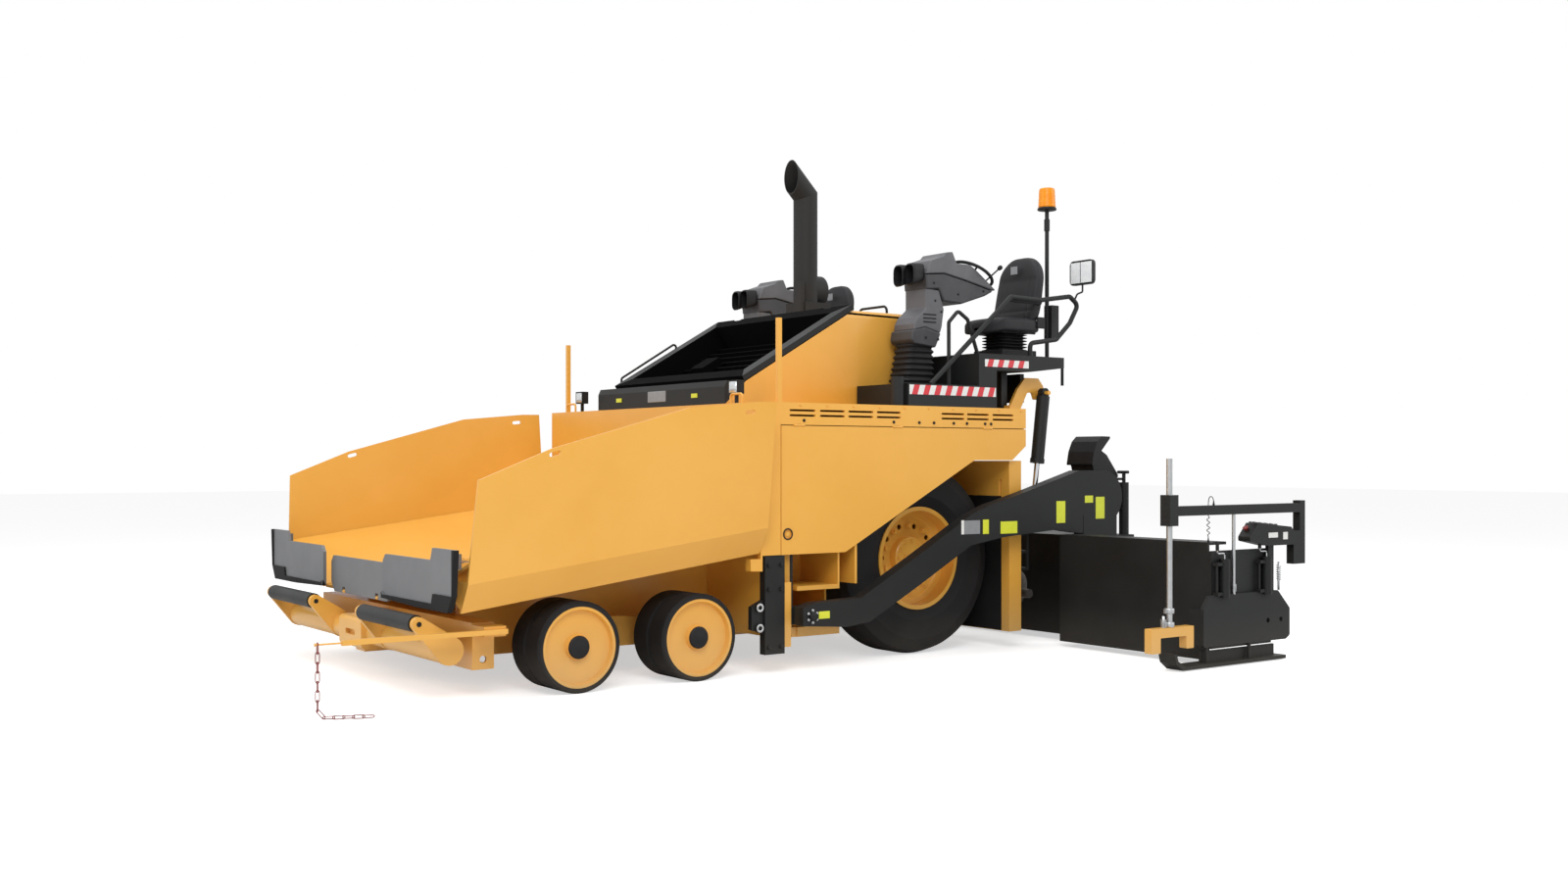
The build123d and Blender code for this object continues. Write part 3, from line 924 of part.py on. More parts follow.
def extension(guide_x):
    out = EXT_OUT - 2 * GATE_T
    front = side_plate([(EXT_FRONT, EXT_LOW), (EXT_FRONT, EXT_TOP), (EXT_BACK + 60, EXT_TOP), (EXT_BACK + 60, EXT_TOP - SHEET),
                        (EXT_FRONT - SHEET, EXT_TOP - SHEET), (EXT_FRONT - SHEET, EXT_LOW + SHEET),
                        (EXT_BACK, EXT_LOW + SHEET), (EXT_BACK, EXT_LOW)], (EXT_IN, out))
    web = [(EXT_BACK, EXT_LOW), (EXT_BACK, EXT_TOP - 2 * SHEET), (EXT_BACK + 60, EXT_TOP - 2 * SHEET),
           (EXT_BACK + 60, EXT_TOP), (EXT_FRONT, EXT_TOP), (EXT_FRONT, EXT_LOW)]
    shape = front + side_plate(web, (EXT_IN, EXT_IN + SHEET))
    shape += box((-2000, EXT_FRONT), (out, out + GATE_T), (120, EXT_TOP - 60))
    for y in (2000, 2450):
        shape += side_plate(web, (y - SHEET / 2, y + SHEET / 2))
    if guide_x == GUIDE_XS["left"]:
        shape += upright(CABLE_X, CABLE_Y, (EXT_TOP, EXT_TOP + GLAND_H), 2.5 * CORD_R)
    return shape + cross_rod(guide_x, (GUIDE_IN, out), GUIDE_Z, GUIDE_R)


def end_gate():
    face = (EXT_OUT - GATE_T, EXT_OUT)
    plate = side_plate([(-1222, 140), (-1222, 400), (-1290, 490), (-2040, 492), (-2176, 360), (-2176, 165), (-2130, 140)],
                       face, 20)
    for x in (GATE_BOLT_X - GATE_BOLT_STEP / 2, GATE_BOLT_X + GATE_BOLT_STEP / 2):
        plate -= cross_rod(x, (EXT_OUT - 50, EXT_OUT + 50), GATE_BOLT_Z, GATE_BOLT_R)
    plate += box((-1254, -1230), (EXT_OUT - 125, EXT_OUT - 5), (150, 395))
    ski = side_plate([(-888, 123), (-905, 60), (-975, SKI_LOW), (-2090, SKI_LOW), (-2090, SKI_LOW + SKI_T),
                      (-1000, SKI_LOW + SKI_T), (-925, 75), (-912, 123)], (EXT_OUT - 110, EXT_OUT + 30))
    ski += side_plate([(-2040, SKI_LOW + SKI_T), (-2040, 110), (-1240, 110), (-1240, SKI_LOW + SKI_T)],
                      (EXT_OUT - 2 * GATE_T + 4, EXT_OUT - GATE_T - 6))
    for x in (-1270.0, -1730.0):
        ski += upright(x, EXT_OUT - GATE_T / 2, (SKI_LOW + SKI_T, 145), 13)
    jack_y = EXT_OUT + 8
    jacks = Part()
    for x in (-1440.0, -1904.0):
        jacks += upright(x, jack_y, (470, 735), 34)
        jacks += upright(x + 75, jack_y - 10, (480, 700), 9)
        jacks += box((x - 40, x + 90), (EXT_OUT - 28, EXT_OUT + 20), (690, 712))
        jacks += box((x - 40, x + 90), (EXT_OUT - 28, EXT_OUT + 20), (486, 508))
    beam_y = (SENSOR_Y - 30, SENSOR_Y + 30)
    tube = upright(SENSOR_TUBE_X, SENSOR_Y, (240, SENSOR_TUBE_TOP), SENSOR_TUBE_R)
    beam = box((-2300, SENSOR_TUBE_X), beam_y, SENSOR_BEAM)
    clamp = box((SENSOR_TUBE_X - 42, SENSOR_TUBE_X + 42), (SENSOR_Y - 42, SENSOR_Y + 42), (975, 1182))
    post = box((-2350, -2290), beam_y, (900, SENSOR_BEAM[1] + 20)) + box((-2350, -2215), beam_y, (670, 910))
    prop = upright(-1556, EXT_OUT - 10, (485, SENSOR_BEAM[0]), 12)
    column = box((-1990, -1930), (EXT_OUT - 26, EXT_OUT), (485, 815))
    control = side_plate([(-1690, 850), (-1690, 880), (-1780, 975), (-2160, 940), (-2220, 880), (-2220, 812), (-1900, 812)],
                         (EXT_OUT - 75, EXT_OUT + 25), 14)
    beam += upright(CORD_ROUTE[0][0], SENSOR_Y, (SENSOR_BEAM[1], CORD_ROUTE[0][2]), 2.5 * CORD_R)
    fork = side_plate([(-690, 135), (-690, 300), (-1116, 300), (-1116, 150), (-1040, 150), (-1040, 236), (-780, 236),
                       (-780, 135)], (SENSOR_Y - 32, SENSOR_Y + 28), 8)
    return plate + ski + jacks + tube + beam + clamp + post + prop + column + control + fork


# the sensor's cable: from a gland on the beam, over, into its coil and down to the extension
CABLE_X, CABLE_Y = -1360.0, SENSOR_Y - 45
GLAND_H = 10.0
CORD_ROUTE = ((CABLE_X, SENSOR_Y, SENSOR_BEAM[1] + GLAND_H), (CABLE_X, SENSOR_Y, 1165), (CABLE_X, CABLE_Y, 1165),
              (CABLE_X, CABLE_Y, 1035))
COIL_LOW = 890.0


def cord_bends(points):
    """The largest arc that the two runs at each corner leave room for."""
    places = [Vector(*point) for point in points]
    radii = []
    for a, b, c in zip(places, places[1:], places[2:]):
        turn = math.radians((b - a).get_angle(c - b))
        radii.append(0.45 * min((b - a).length, (c - b).length) / math.tan(turn / 2))
    return radii


def sensor_cord():
    path = FilletPolyline(*CORD_ROUTE, radius=cord_bends(CORD_ROUTE))
    upper = sweep(Plane(origin=path @ 0, z_dir=path % 0) * Circle(CORD_R), path=path)
    return group(upper, upright(CABLE_X, CABLE_Y, (EXT_TOP + GLAND_H, COIL_LOW), CORD_R))


def sensor_cord_coil():
    return upright(CABLE_X, CABLE_Y, (COIL_LOW, CORD_ROUTE[-1][2]), COIL_R)


def flight(start, turns):
    """Helical blade round the auger shaft from one value of Y, a whole number of turns long."""
    length = turns * AUGER_PITCH
    middle = (AUGER_R + AUGER_SHAFT_R) / 2 - 2
    helix = Helix(pitch=AUGER_PITCH, height=length, radius=middle)
    height = AUGER_R - AUGER_SHAFT_R + 4
    section = Plane(origin=helix @ 0, x_dir=(1, 0, 0), z_dir=helix % 0) * Rectangle(height, FLIGHT_T)
    blade = sweep(section, path=helix, is_frenet=True)
    return Pos(AUGER_X, start, AUGER_Z) * Rot(-90, 0, 0) * blade


def auger():
    shape = cross_rod(AUGER_X, (AUGER_IN, AUGER_OUT), AUGER_Z, AUGER_SHAFT_R)
    turns = int((AUGER_OUT - AUGER_IN - 2 * FLIGHT_T) / AUGER_PITCH)
    spare = (AUGER_OUT - AUGER_IN - turns * AUGER_PITCH) / 2
    return shape + flight(AUGER_IN + spare, turns)


def auger_gear():
    reach = RAIL_OUT - RAIL_T
    case = side_plate([(AUGER_X - 70, AUGER_Z - 80), (AUGER_X + 70, AUGER_Z - 80), (FRAME_REAR, 700), (FRAME_REAR, 900),
                       (AUGER_X + 30, 900), (AUGER_X - 70, 640)], (-90, 90), 20)
    bearing = cross_rod(AUGER_X, (-100, 100), AUGER_Z, 90)
    cross = box((FRAME_REAR, FRAME_REAR + 40), (-reach, reach), (700, 900))
    outer = FRAME_REAR - 40
    guard = Part()
    for z in (590.0, 720.0, 850.0):
        guard += box((outer - 190, outer), (1000, 1012), (z - 10, z + 10))
        guard += box((outer - 190, outer), (BODY_HALF - 72, BODY_HALF - 60), (z - 10, z + 10))
        guard += cross_rod(outer - 180, (1000, BODY_HALF - 60), z, 12)
    guard += box((outer - 192, outer - 168), (1000, 1012), (580, 860))
    guard += box((outer - 192, outer - 168), (BODY_HALF - 72, BODY_HALF - 60), (580, 860))
    return group(case + bearing + cross, both(guard))


def lift_line(share):
    """Point on the lift cylinder's line, from its top pin at 0 to its eye at 1."""
    return (LIFT_TOP[0] + (LIFT_EYE[0] - LIFT_TOP[0]) * share, LIFT_Y, LIFT_TOP[1] + (LIFT_EYE[1] - LIFT_TOP[1]) * share)


def lift_barrel():
    barrel = rod(lift_line(0.03), lift_line(0.62), LIFT_BARREL_R)
    barrel += cross_rod(LIFT_TOP[0], (LIFT_Y - 25, LIFT_Y + 25), LIFT_TOP[1], 38)
    barrel += rod(lift_line(0.6), lift_line(0.64), LIFT_BARREL_R + 5)
    barrel -= cross_rod(LIFT_TOP[0], (LIFT_Y - 70, LIFT_Y + 70), LIFT_TOP[1], LIFT_PIN_R + PIN_GAP)
    return barrel - rod(lift_line(0.15), lift_line(0.7), LIFT_ROD_R + PIN_GAP)


def lift_rod():
    bar = rod(lift_line(0.48), lift_line(0.97), LIFT_ROD_R)
    bar += cross_rod(LIFT_EYE[0], (LIFT_Y - 20, LIFT_Y + 20), LIFT_EYE[1], EYE_PIN_R + EYE_DRIFT + 16)
    return bar - cross_rod(LIFT_EYE[0], (LIFT_Y - 40, LIFT_Y + 40), LIFT_EYE[1], EYE_PIN_R + EYE_DRIFT)


# ---------------------------------------------------------------- writing

def write(name, shape):
    export_step(Pos(ORIGIN_X, 0, 0) * shape, f"parts/{name}.step")


os.makedirs("parts", exist_ok=True)
SINGLE = (chassis, bogie_beams, hopper_floor, conveyors, body_shell, side_panels, engine, hood, hood_grille, exhaust,
          platforms, consoles, seats, handrails, beacon, chain, rear_frame, tow_plates, auger_gear, apron, push_beam,
          tow_arms, screed, screed_consoles, sensor_cord, sensor_cord_coil)
for make in SINGLE:
    write(make.__name__, make())

# pieces that the right side has as mirror images
for make in (wing, wing_flap, push_roller, side_door, drive_rim, drive_tyre, auger, end_gate, lift_barrel, lift_rod):
    shape = make()
    write(f"{make.__name__}_left", shape)
    write(f"{make.__name__}_right", other_side(shape))

for side, guide_x in GUIDE_XS.items():
    shape = extension(guide_x)
    write(f"extension_{side}", shape if side == "left" else other_side(shape))

for number, x in enumerate(BOGIE_XS, 1):
    for make in (knuckle, bogie_rim, bogie_tyre):
        shape = make(x)
        write(f"{make.__name__}_left_{number}", shape)
        write(f"{make.__name__}_right_{number}", other_side(shape))
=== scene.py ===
import math
import bpy
import numpy as np
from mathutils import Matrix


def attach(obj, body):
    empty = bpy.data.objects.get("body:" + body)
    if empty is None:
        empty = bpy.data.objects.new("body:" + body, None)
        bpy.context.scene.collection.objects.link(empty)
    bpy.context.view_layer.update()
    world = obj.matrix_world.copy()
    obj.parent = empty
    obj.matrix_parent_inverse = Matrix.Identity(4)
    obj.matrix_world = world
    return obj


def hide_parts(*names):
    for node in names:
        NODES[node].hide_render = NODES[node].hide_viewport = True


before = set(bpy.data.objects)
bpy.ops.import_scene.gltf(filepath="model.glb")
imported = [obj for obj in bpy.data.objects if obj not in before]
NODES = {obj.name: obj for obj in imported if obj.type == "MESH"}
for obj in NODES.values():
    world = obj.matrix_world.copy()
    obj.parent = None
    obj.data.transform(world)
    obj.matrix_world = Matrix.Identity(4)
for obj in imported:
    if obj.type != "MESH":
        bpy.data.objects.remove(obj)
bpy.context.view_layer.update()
SHIFT = -0.870          # the drawing's datum stands this far behind the row frame's middle
TAU = 2 * math.pi
# Places in drawing millimetres, as in the part's source.
SEAT_Y, CONSOLE_Y = 1170, 1080      # middles of the left seat and console
PANEL_Y, ARM_Y = 1500, 1612         # outer faces of the side panels and tow arms
DRIVE_X, DRIVE_Z = -170, 700        # drive axle


# ------------------------------------------------------------------ finishes

def srgb(code):
    """Hex paint code to linear colour."""
    parts = [int(code[k:k + 2], 16) / 255 for k in (1, 3, 5)]
    return tuple(c / 12.92 if c < 0.04045 else ((c + 0.055) / 1.055) ** 2.4 for c in parts) + (1.0,)


def put(tree, kind, inputs=(), **settings):
    """Adds one node with its settings, then its inputs: each a plain value or another node's output."""
    new = tree.nodes.new("ShaderNode" + kind)
    for name, value in settings.items():
        setattr(new, name, value)
    for name, value in dict(inputs).items():
        if isinstance(value, bpy.types.NodeSocket):
            tree.links.new(value, new.inputs[name])
        else:
            new.inputs[name].default_value = value
    return new


def finish(name, colour, patch, roughness, rough_spread=0.06, patch_mm=700.0, grain_mm=6.0,
           grain_depth_mm=0.05, dust=None, dust_top=0.0, metallic=0.0, ior=1.5, coat=0.0, stretch=(1, 1, 1),
           **sockets):
    """Paint, plastic, rubber or metal in one shader. colour drifts towards patch in clouds of patch_mm; dust,
    if given, settles as a colour on the lowest dust_top metres; roughness wanders by rough_spread in the same
    clouds, and a grain of grain_mm stands grain_depth_mm proud of the surface. stretch draws the grain out
    along an axis."""
    material = bpy.data.materials.new(name)
    material.use_nodes = True
    tree = material.node_tree
    tree.nodes.clear()
    place = put(tree, "TexCoord").outputs["Object"]
    clouds = put(tree, "TexNoise", {"Vector": place, "Scale": 1000.0 / patch_mm, "Detail": 4.0,
                                    "Roughness": 0.6})
    ramp = put(tree, "MapRange", {"Value": clouds.outputs["Fac"], "From Min": 0.35, "From Max": 0.68})
    shade = put(tree, "Mix", {"Factor": ramp.outputs[0], 6: srgb(colour), 7: srgb(patch)}, data_type="RGBA")
    tone = shade.outputs[2]
    if dust:
        height = put(tree, "SeparateXYZ", {"Vector": place}).outputs["Z"]
        low = put(tree, "MapRange", {"Value": height, "From Min": dust_top, "From Max": 0.0, "To Max": 0.75})
        film = put(tree, "Math", {0: low.outputs[0], 1: clouds.outputs["Fac"]}, operation="MULTIPLY")
        shade = put(tree, "Mix", {"Factor": film.outputs[0], 6: tone, 7: srgb(dust)}, data_type="RGBA")
        tone = shade.outputs[2]
    rough = put(tree, "MapRange", {"Value": clouds.outputs["Fac"], "From Min": 0.3, "From Max": 0.7,
                                   "To Min": roughness - rough_spread, "To Max": roughness + rough_spread})
    drawn = put(tree, "Mapping", {"Vector": place, "Scale": tuple(1.0 / s for s in stretch)})
    grain = put(tree, "TexNoise", {"Vector": drawn.outputs[0], "Scale": 1000.0 / grain_mm, "Detail": 2.0})
    relief = put(tree, "Bump", {"Height": grain.outputs["Fac"], "Distance": grain_depth_mm / 1000.0,
                                "Strength": 1.0})
    skin = put(tree, "BsdfPrincipled", {"Base Color": tone, "Roughness": rough.outputs[0],
                                        "Normal": relief.outputs[0], "Metallic": metallic, "IOR": ior,
                                        "Coat Weight": coat, **sockets})
    put(tree, "OutputMaterial", {"Surface": skin.outputs[0]})
    return material


# Matt blacks scatter little at the surface: half the mirror part of a plain plastic.
MATT = {"Specular IOR Level": 0.25}
# Two-pack polyurethane enamel, sprayed over welded plate: warm golden yellow, a soft satin gloss with faint
# orange peel (about 3 mm on the real plate, drawn at 14 mm so that it shows), pale road dust on its lowest
# parts.
yellow_enamel = finish("yellow_enamel", "#EDB04B", "#E7A940", 0.36, 0.05, 900, 14, 0.02, dust="#C9B48C",
                       dust_top=0.5, coat=0.1)
# The same enamel inside the hopper, its colour deepened all over as painted shade; loads have rubbed it
# duller and darker along the flow.
shaded_hopper_enamel = finish("rubbed_hopper_enamel_painted_shade", "#DDA23C", "#CF9634", 0.46, 0.08, 420, 9, 0.05,
                       stretch=(5, 1, 1))
# Powder coat on steel: near black, its fine stipple scatters highlights.
black_coat = finish("black_powder_coat", "#1C1D1D", "#222323", 0.52, 0.06, 500, 5, 0.05, dust="#4A463F",
                    dust_top=0.35, **MATT)
# Heat-proof silicone paint of the exhaust: matt, slightly brown where it runs hot.
stack_coat = finish("heat_proof_black", "#262626", "#2A2928", 0.62, 0.05, 260, 5, 0.05, **MATT)
# Grey primed plate of the hopper's front apron, scuffed by truck wheels and bitumen.
grey_plate = finish("scuffed_grey_plate", "#757678", "#6B6C6E", 0.50, 0.06, 900, 8, 0.05, metallic=0.1)
# Reinforced belting bolted round the apron's edge: dead black, soft, a woven backing of 2 mm drawn at 7 mm.
belting = finish("rubber_belting", "#141415", "#1C1C1C", 0.78, 0.05, 180, 7, 0.20, **MATT)
# Tyre rubber: carbon black compound, moulded, grey bloom on the shoulders and dust on the tread.
tyre_rubber = finish("tyre_rubber", "#1A1A1B", "#222223", 0.72, 0.06, 320, 6, 0.10, dust="#4F4A42",
                     dust_top=0.30, **MATT)
# Moulded grey ABS of the console housings, with a spark-eroded grain of 0.8 mm drawn at 3 mm.
grey_housing = finish("moulded_grey_abs", "#5C5C60", "#545458", 0.52, 0.04, 200, 3, 0.06)
# The darker grey of the arm housing's lower shell and the column's mouldings.
dark_housing = finish("moulded_charcoal_abs", "#3A3A3D", "#343437", 0.55, 0.04, 200, 3, 0.06)
# The intake's throat, its bars and the block behind them: painted shade, a near black that returns almost no
# light.
painted_shade_black = finish("intake_painted_shade", "#060606", "#090909", 0.9, 0.04, 200, 9, 0.3,
                    **{"Specular IOR Level": 0.05})
# Black ABS and rubber of displays, bellows, knobs.
black_plastic = finish("moulded_black_abs", "#1A1A1C", "#202022", 0.55, 0.04, 160, 3, 0.06, **MATT)
# Heavy vinyl of the seats, with a pebbled leather grain.
seat_vinyl = finish("seat_vinyl", "#252527", "#2C2C2F", 0.58, 0.05, 120, 3.5, 0.20, **MATT)
# Hard-chromed cylinder rods and pins, ground and polished.
hard_chrome = finish("hard_chrome", "#D4D5D8", "#C8C9CC", 0.12, 0.03, 90, 2, 0.005, metallic=1.0)
# Zinc-plated tube and fasteners: pale grey metal with a dull shine.
zinc_plate = finish("zinc_plated_steel", "#C6C8C9", "#B4B6B8", 0.34, 0.06, 70, 3, 0.02, metallic=1.0)
# Abrasion-resistant steel of the auger flights and conveyor slats, polished by asphalt, dark in the roots.
worn_steel = finish("worn_auger_steel", "#85817C", "#55524F", 0.42, 0.12, 130, 6, 0.10, metallic=0.85)
# Amber polycarbonate of the beacon: a tinted moulding. Its IOR is below the real 1.58, which keeps the colour
# from washing out.
amber_lens = finish("amber_polycarbonate", "#F49A10", "#F08C06", 0.32, 0.02, 60, 30, 0.0, ior=1.4)
# Clear lamp glass over a bright reflector.
lamp_glass = finish("lamp_glass", "#D9DEE0", "#C9D0D3", 0.10, 0.02, 30, 12, 0.01, metallic=0.6)
# Mirror glass: its bright, very smooth white is painted reflection of the pale surroundings.
mirror_glass = finish("mirror_painted_reflection", "#F2F4F5", "#E9ECEE", 0.08, 0.01, 60, 30, 0.0)
# Painted steel chain, its links by turns fresh red and faded red.
red_link = finish("red_painted_link", "#8E2F2E", "#7C2726", 0.40, 0.06, 40, 3, 0.03)
faded_link = finish("faded_painted_link", "#8A4A48", "#7A3F3E", 0.42, 0.06, 40, 3, 0.03)
# Blank labels and plates: vinyl film, satin.
warn_film = finish("yellow_green_film", "#DDE23A", "#D6DB34", 0.38, 0.03, 60, 30, 0.0)
grey_film = finish("silver_grey_film", "#8F9194", "#86888B", 0.34, 0.03, 60, 30, 0.0)
red_film = finish("red_film", "#D6303A", "#C92B35", 0.36, 0.03, 60, 30, 0.0)
white_film = finish("white_film", "#E9E9E6", "#E0E0DD", 0.36, 0.03, 60, 30, 0.0)
# Polyurethane jacket of the sensor's curly cable: smooth, slightly glossy black.
cable_jacket = finish("cable_jacket", "#1E1E20", "#262628", 0.42, 0.03, 40, 2, 0.01)


# ------------------------------------------------------------------ camera

def look(place, heading, lens_mm, rise):
    """Level camera at place looking along heading (x, y). rise slides the picture up in shares of its
    width."""
    data = bpy.data.cameras.new("camera")
    data.lens, data.sensor_width, data.shift_y = lens_mm, 36.0, rise
    data.clip_end = 200.0
    camera = bpy.data.objects.new("camera", data)
    bpy.context.scene.collection.objects.link(camera)
    camera.location = place
    camera.rotation_euler = (math.pi / 2, 0, math.atan2(-heading[0], heading[1]))
    bpy.context.scene.camera = camera


look((7.066 + SHIFT, 9.587, 1.414), (-0.5868, -0.8098), 34.515, 0.01225)


# ------------------------------------------------------------------ shape making

def piece(name, points, faces, material, body, smooth=True, slot=None):
    """A mesh from an array of points and an array of faces, riding on a body of the machine."""
    data = bpy.data.meshes.new(name)
    corners = [np.asarray(face).tolist() for face in faces]
    data.from_pydata(np.asarray(points, float).reshape(-1, 3), [], corners)
    data.polygons.foreach_set("use_smooth", np.full(len(data.polygons), smooth))
    data.materials.append(material)
    data.validate()
    made = bpy.data.objects.new(name, data)
    bpy.context.scene.collection.objects.link(made)
    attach(made, body)
    return made


def quads(rows, columns, wrap_rows, wrap_columns):
    """Faces between neighbouring points of a grid stored row by row; a wrapped side closes on itself."""
    r = np.arange(rows if wrap_rows else rows - 1)
    c = np.arange(columns if wrap_columns else columns - 1)
    r, c = np.meshgrid(r, c, indexing="ij")
    down, along = (r + 1) % rows, (c + 1) % columns
    here, below = r * columns, down * columns
    return np.stack([here + c, here + along, below + along, below + c], -1).reshape(-1, 4)


def many(points, faces, copies):
    """Repeats one template: copies is (n, points, 3), every copy with the template's faces."""
    step = np.arange(len(copies))[:, None, None] * points
    faces = np.asarray(faces)
    return np.asarray(copies).reshape(-1, 3), (faces[None] + step).reshape(-1, faces.shape[1])


def frame_of(axis):
    """Two directions square to each row of axis, and axis itself at unit length."""
    axis = np.atleast_2d(np.asarray(axis, float))
    axis = axis / np.linalg.norm(axis, axis=1, keepdims=True)
    helper = np.where(np.abs(axis[:, 2:3]) > 0.9, [[1.0, 0, 0]], [[0, 0, 1.0]])
    side = np.cross(helper, axis)
    side /= np.linalg.norm(side, axis=1, keepdims=True)
    return side, np.cross(axis, side), axis


def spun(profile, places, axis, steps, start=0.0):
    """Surface of revolution, once at each place: point(i, t) = place + s_i * axis + r_i (cos t * side + sin t
    * up), for the profile's rows (s_i, r_i) and t once round; a row of no radius closes its end."""
    profile = np.asarray(profile, float)
    places = np.atleast_2d(np.asarray(places, float))
    side, up, along = (v[:, None, None, :] for v in frame_of(np.broadcast_to(axis, places.shape)))
    t = start + TAU * np.arange(steps) / steps
    s, r = profile[None, :, 0, None, None], profile[None, :, 1, None, None]
    ring = np.cos(t)[None, None, :, None] * side + np.sin(t)[None, None, :, None] * up
    grid = places[:, None, None, :] + s * along + r * ring
    faces = quads(len(profile), steps, False, True)[:, ::-1]
    return many(len(profile) * steps, faces, grid.reshape(len(places), -1, 3))


def swept(path, radius, steps, closed=False):
    """Round tube: point(i, t) = path_i + radius (cos t * side_i + sin t * up_i), with side_i and up_i square
    to the path."""
    path = np.asarray(path, float)
    if closed:
        ahead = np.roll(path, -1, 0) - np.roll(path, 1, 0)
    else:
        ahead = np.gradient(path, axis=0)
    side, up, _ = frame_of(ahead)
    t = TAU * np.arange(steps) / steps
    radius = np.broadcast_to(np.asarray(radius, float), (len(path),))[:, None, None]
    grid = path[:, None] + radius * (np.cos(t)[:, None] * side[:, None] + np.sin(t)[:, None] * up[:, None])
    return grid.reshape(-1, 3), quads(len(path), steps, closed, True)[:, ::-1]


def signed_power(v, power):
    """v raised to power with its sign kept, which squares a round loop off."""
    return np.sign(v) * np.abs(v) ** power


def joined(*parts):
    """Several (points, faces) with faces of one size, as one."""
    base = np.cumsum([0] + [len(p) for p, _ in parts[:-1]])
    return np.concatenate([p for p, _ in parts]), np.concatenate([f + b for (_, f), b in zip(parts, base)])


CUBE = np.array([(x, y, z) for x in (-1, 1) for y in (-1, 1) for z in (-1, 1)], float)
CUBE_FACES = np.array([(0, 1, 3, 2), (4, 6, 7, 5), (0, 4, 5, 1), (2, 3, 7, 6), (0, 2, 6, 4), (1, 5, 7, 3)])


def slabs(centres, halves):
    """Boxes: corner = centre + corner sign * half size, for each row."""
    centres = np.atleast_2d(np.asarray(centres, float))
    halves = np.broadcast_to(np.asarray(halves, float), centres.shape)
    return many(8, CUBE_FACES, centres[:, None] + CUBE[None] * halves[:, None])


def bevelled(made, width, segments=2):
    """Rounds a plate's edges, as a guillotined and dressed edge is."""
    made.modifiers.new("edges", "BEVEL").width = width
    made.modifiers["edges"].segments = segments
    return made


def bolts(name, places, axis, across, material, body, washer=True):
    """Hexagon heads with washers, standing on the surface at each place along axis."""
    r = across / 2 / math.cos(math.pi / 6)
    places = np.atleast_2d(np.asarray(places, float))
    axis = np.asarray(axis, float)
    head = spun([(0, r), (0.55 * across, r), (0.66 * across, 0.84 * r), (0.66 * across, 0)], places, axis, 6)
    if washer:
        ring = spun([(0, 1.3 * r), (0.11 * across, 1.3 * r), (0.13 * across, 1.2 * r), (0.13 * across, 0)],
                    places, axis, 18)
        head = joined(head, ring)
    return piece(name, *head, material, body, smooth=False)


def at(x, y, z):
    """A place of the drawing, in millimetres from its datum, in the row frame."""
    return np.stack(np.broadcast_arrays((np.asarray(x, float) / 1000 + SHIFT), np.asarray(y, float) / 1000,
                                        np.asarray(z, float) / 1000), -1)


def placed(grid):
    """A grid of drawing millimetres as a list of places in the row frame."""
    return at(*np.moveaxis(grid, -1, 0)).reshape(-1, 3)


def facing(faces, kept):
    """The faces as they are, or turned inside out for the mirrored side."""
    return faces if kept else faces[:, ::-1]


def paint(node, *coats):
    """Gives a CAD node its finishes: the first coat all over, then each (material, low, high) where a face's
    middle lies between those two corners, in drawing millimetres; a corner of None has no limit."""
    mesh = NODES[node].data
    mesh.materials.clear()
    mesh.materials.append(coats[0])
    if len(coats) > 1:
        middles = np.empty(len(mesh.polygons) * 3)
        mesh.polygons.foreach_get("center", middles)
        middles = (middles.reshape(-1, 3) - (SHIFT, 0, 0)) * 1000
        chosen = np.zeros(len(middles), int)
        for k, (material, low, high) in enumerate(coats[1:], 1):
            mesh.materials.append(material)
            low = np.array([-1e9 if v is None else v for v in low])
            high = np.array([1e9 if v is None else v for v in high])
            chosen[np.all((middles >= low) & (middles <= high), axis=1)] = k
        mesh.polygons.foreach_set("material_index", chosen)


# ------------------------------------------------------------------ the sensor's cable

def spline(name, points, radius, material, body, steps=6):
    """A round cable whose centreline is a NURBS spline with these control points."""
    data = bpy.data.curves.new(name, "CURVE")
    data.dimensions, data.bevel_depth, data.bevel_resolution, data.resolution_u = "3D", radius, steps, 8
    data.use_fill_caps = True
    line = data.splines.new("NURBS")
    line.points.add(len(points) - 1)
    line.points.foreach_set("co", np.column_stack([points, np.ones(len(points))]).ravel())
    line.order_u, line.use_endpoint_u = 3, True
    data.materials.append(material)
    made = bpy.data.objects.new(name, data)
    bpy.context.scene.collection.objects.link(made)
    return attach(made, body)


def sensor_cable():
    """Up out of its gland, over, then a curly length: place(t) = axis + r(t) (cos t, sin t), falling evenly,
    r opening within half a turn at each end; then straight down into the extension's gland."""
    out_run = np.array([(-1360, 2975, 1115), (-1360, 2975, 1165), (-1360, 2930, 1165), (-1360, 2930, 1035)],
                       float)
    turns, opening = 4, 9.0
    t = np.linspace(0, TAU * turns, turns * 14 + 1)[1:-1]
    r = opening * np.clip(np.minimum(t, TAU * turns - t) / (0.5 * TAU), 0, 1)
    coil = np.stack([-1360 + r * np.cos(t), 2930 + r * np.sin(t), 1035 - 145 * t / (TAU * turns)], -1)
    down = np.array([(-1360, 2930, 890), (-1360, 2930, 860)], float)
    route = np.concatenate([out_run, coil, down])
    cable = spline("sensor_cable", at(*route.T), 0.003, cable_jacket, "extension_left")
    boot = [(-0.001, 0.0072), (0.002, 0.0074), (0.004, 0.0056), (0.007, 0.0058), (0.009, 0.0047),
            (0.012, 0.0049), (0.014, 0.0040), (0.018, 0.0041), (0.022, 0.0032), (0.022, 0.0)]
    boots = joined(spun(boot, at(-1360, 2975, 1115), (0, 0, 1), 24),
                   spun(boot, at(-1360, 2930, 860), (0, 0, 1), 24))
    boots = piece("cable_boots", *boots, black_plastic, "extension_left", slot="cord_rubber")
    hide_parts("sensor_cord", "sensor_cord_coil")
    tuple(at(-1360, 2975, 1115))


sensor_cable()


# ------------------------------------------------------------------ the CAD nodes' finishes

FAR = None
SIDES = (("left", 1), ("right", -1))

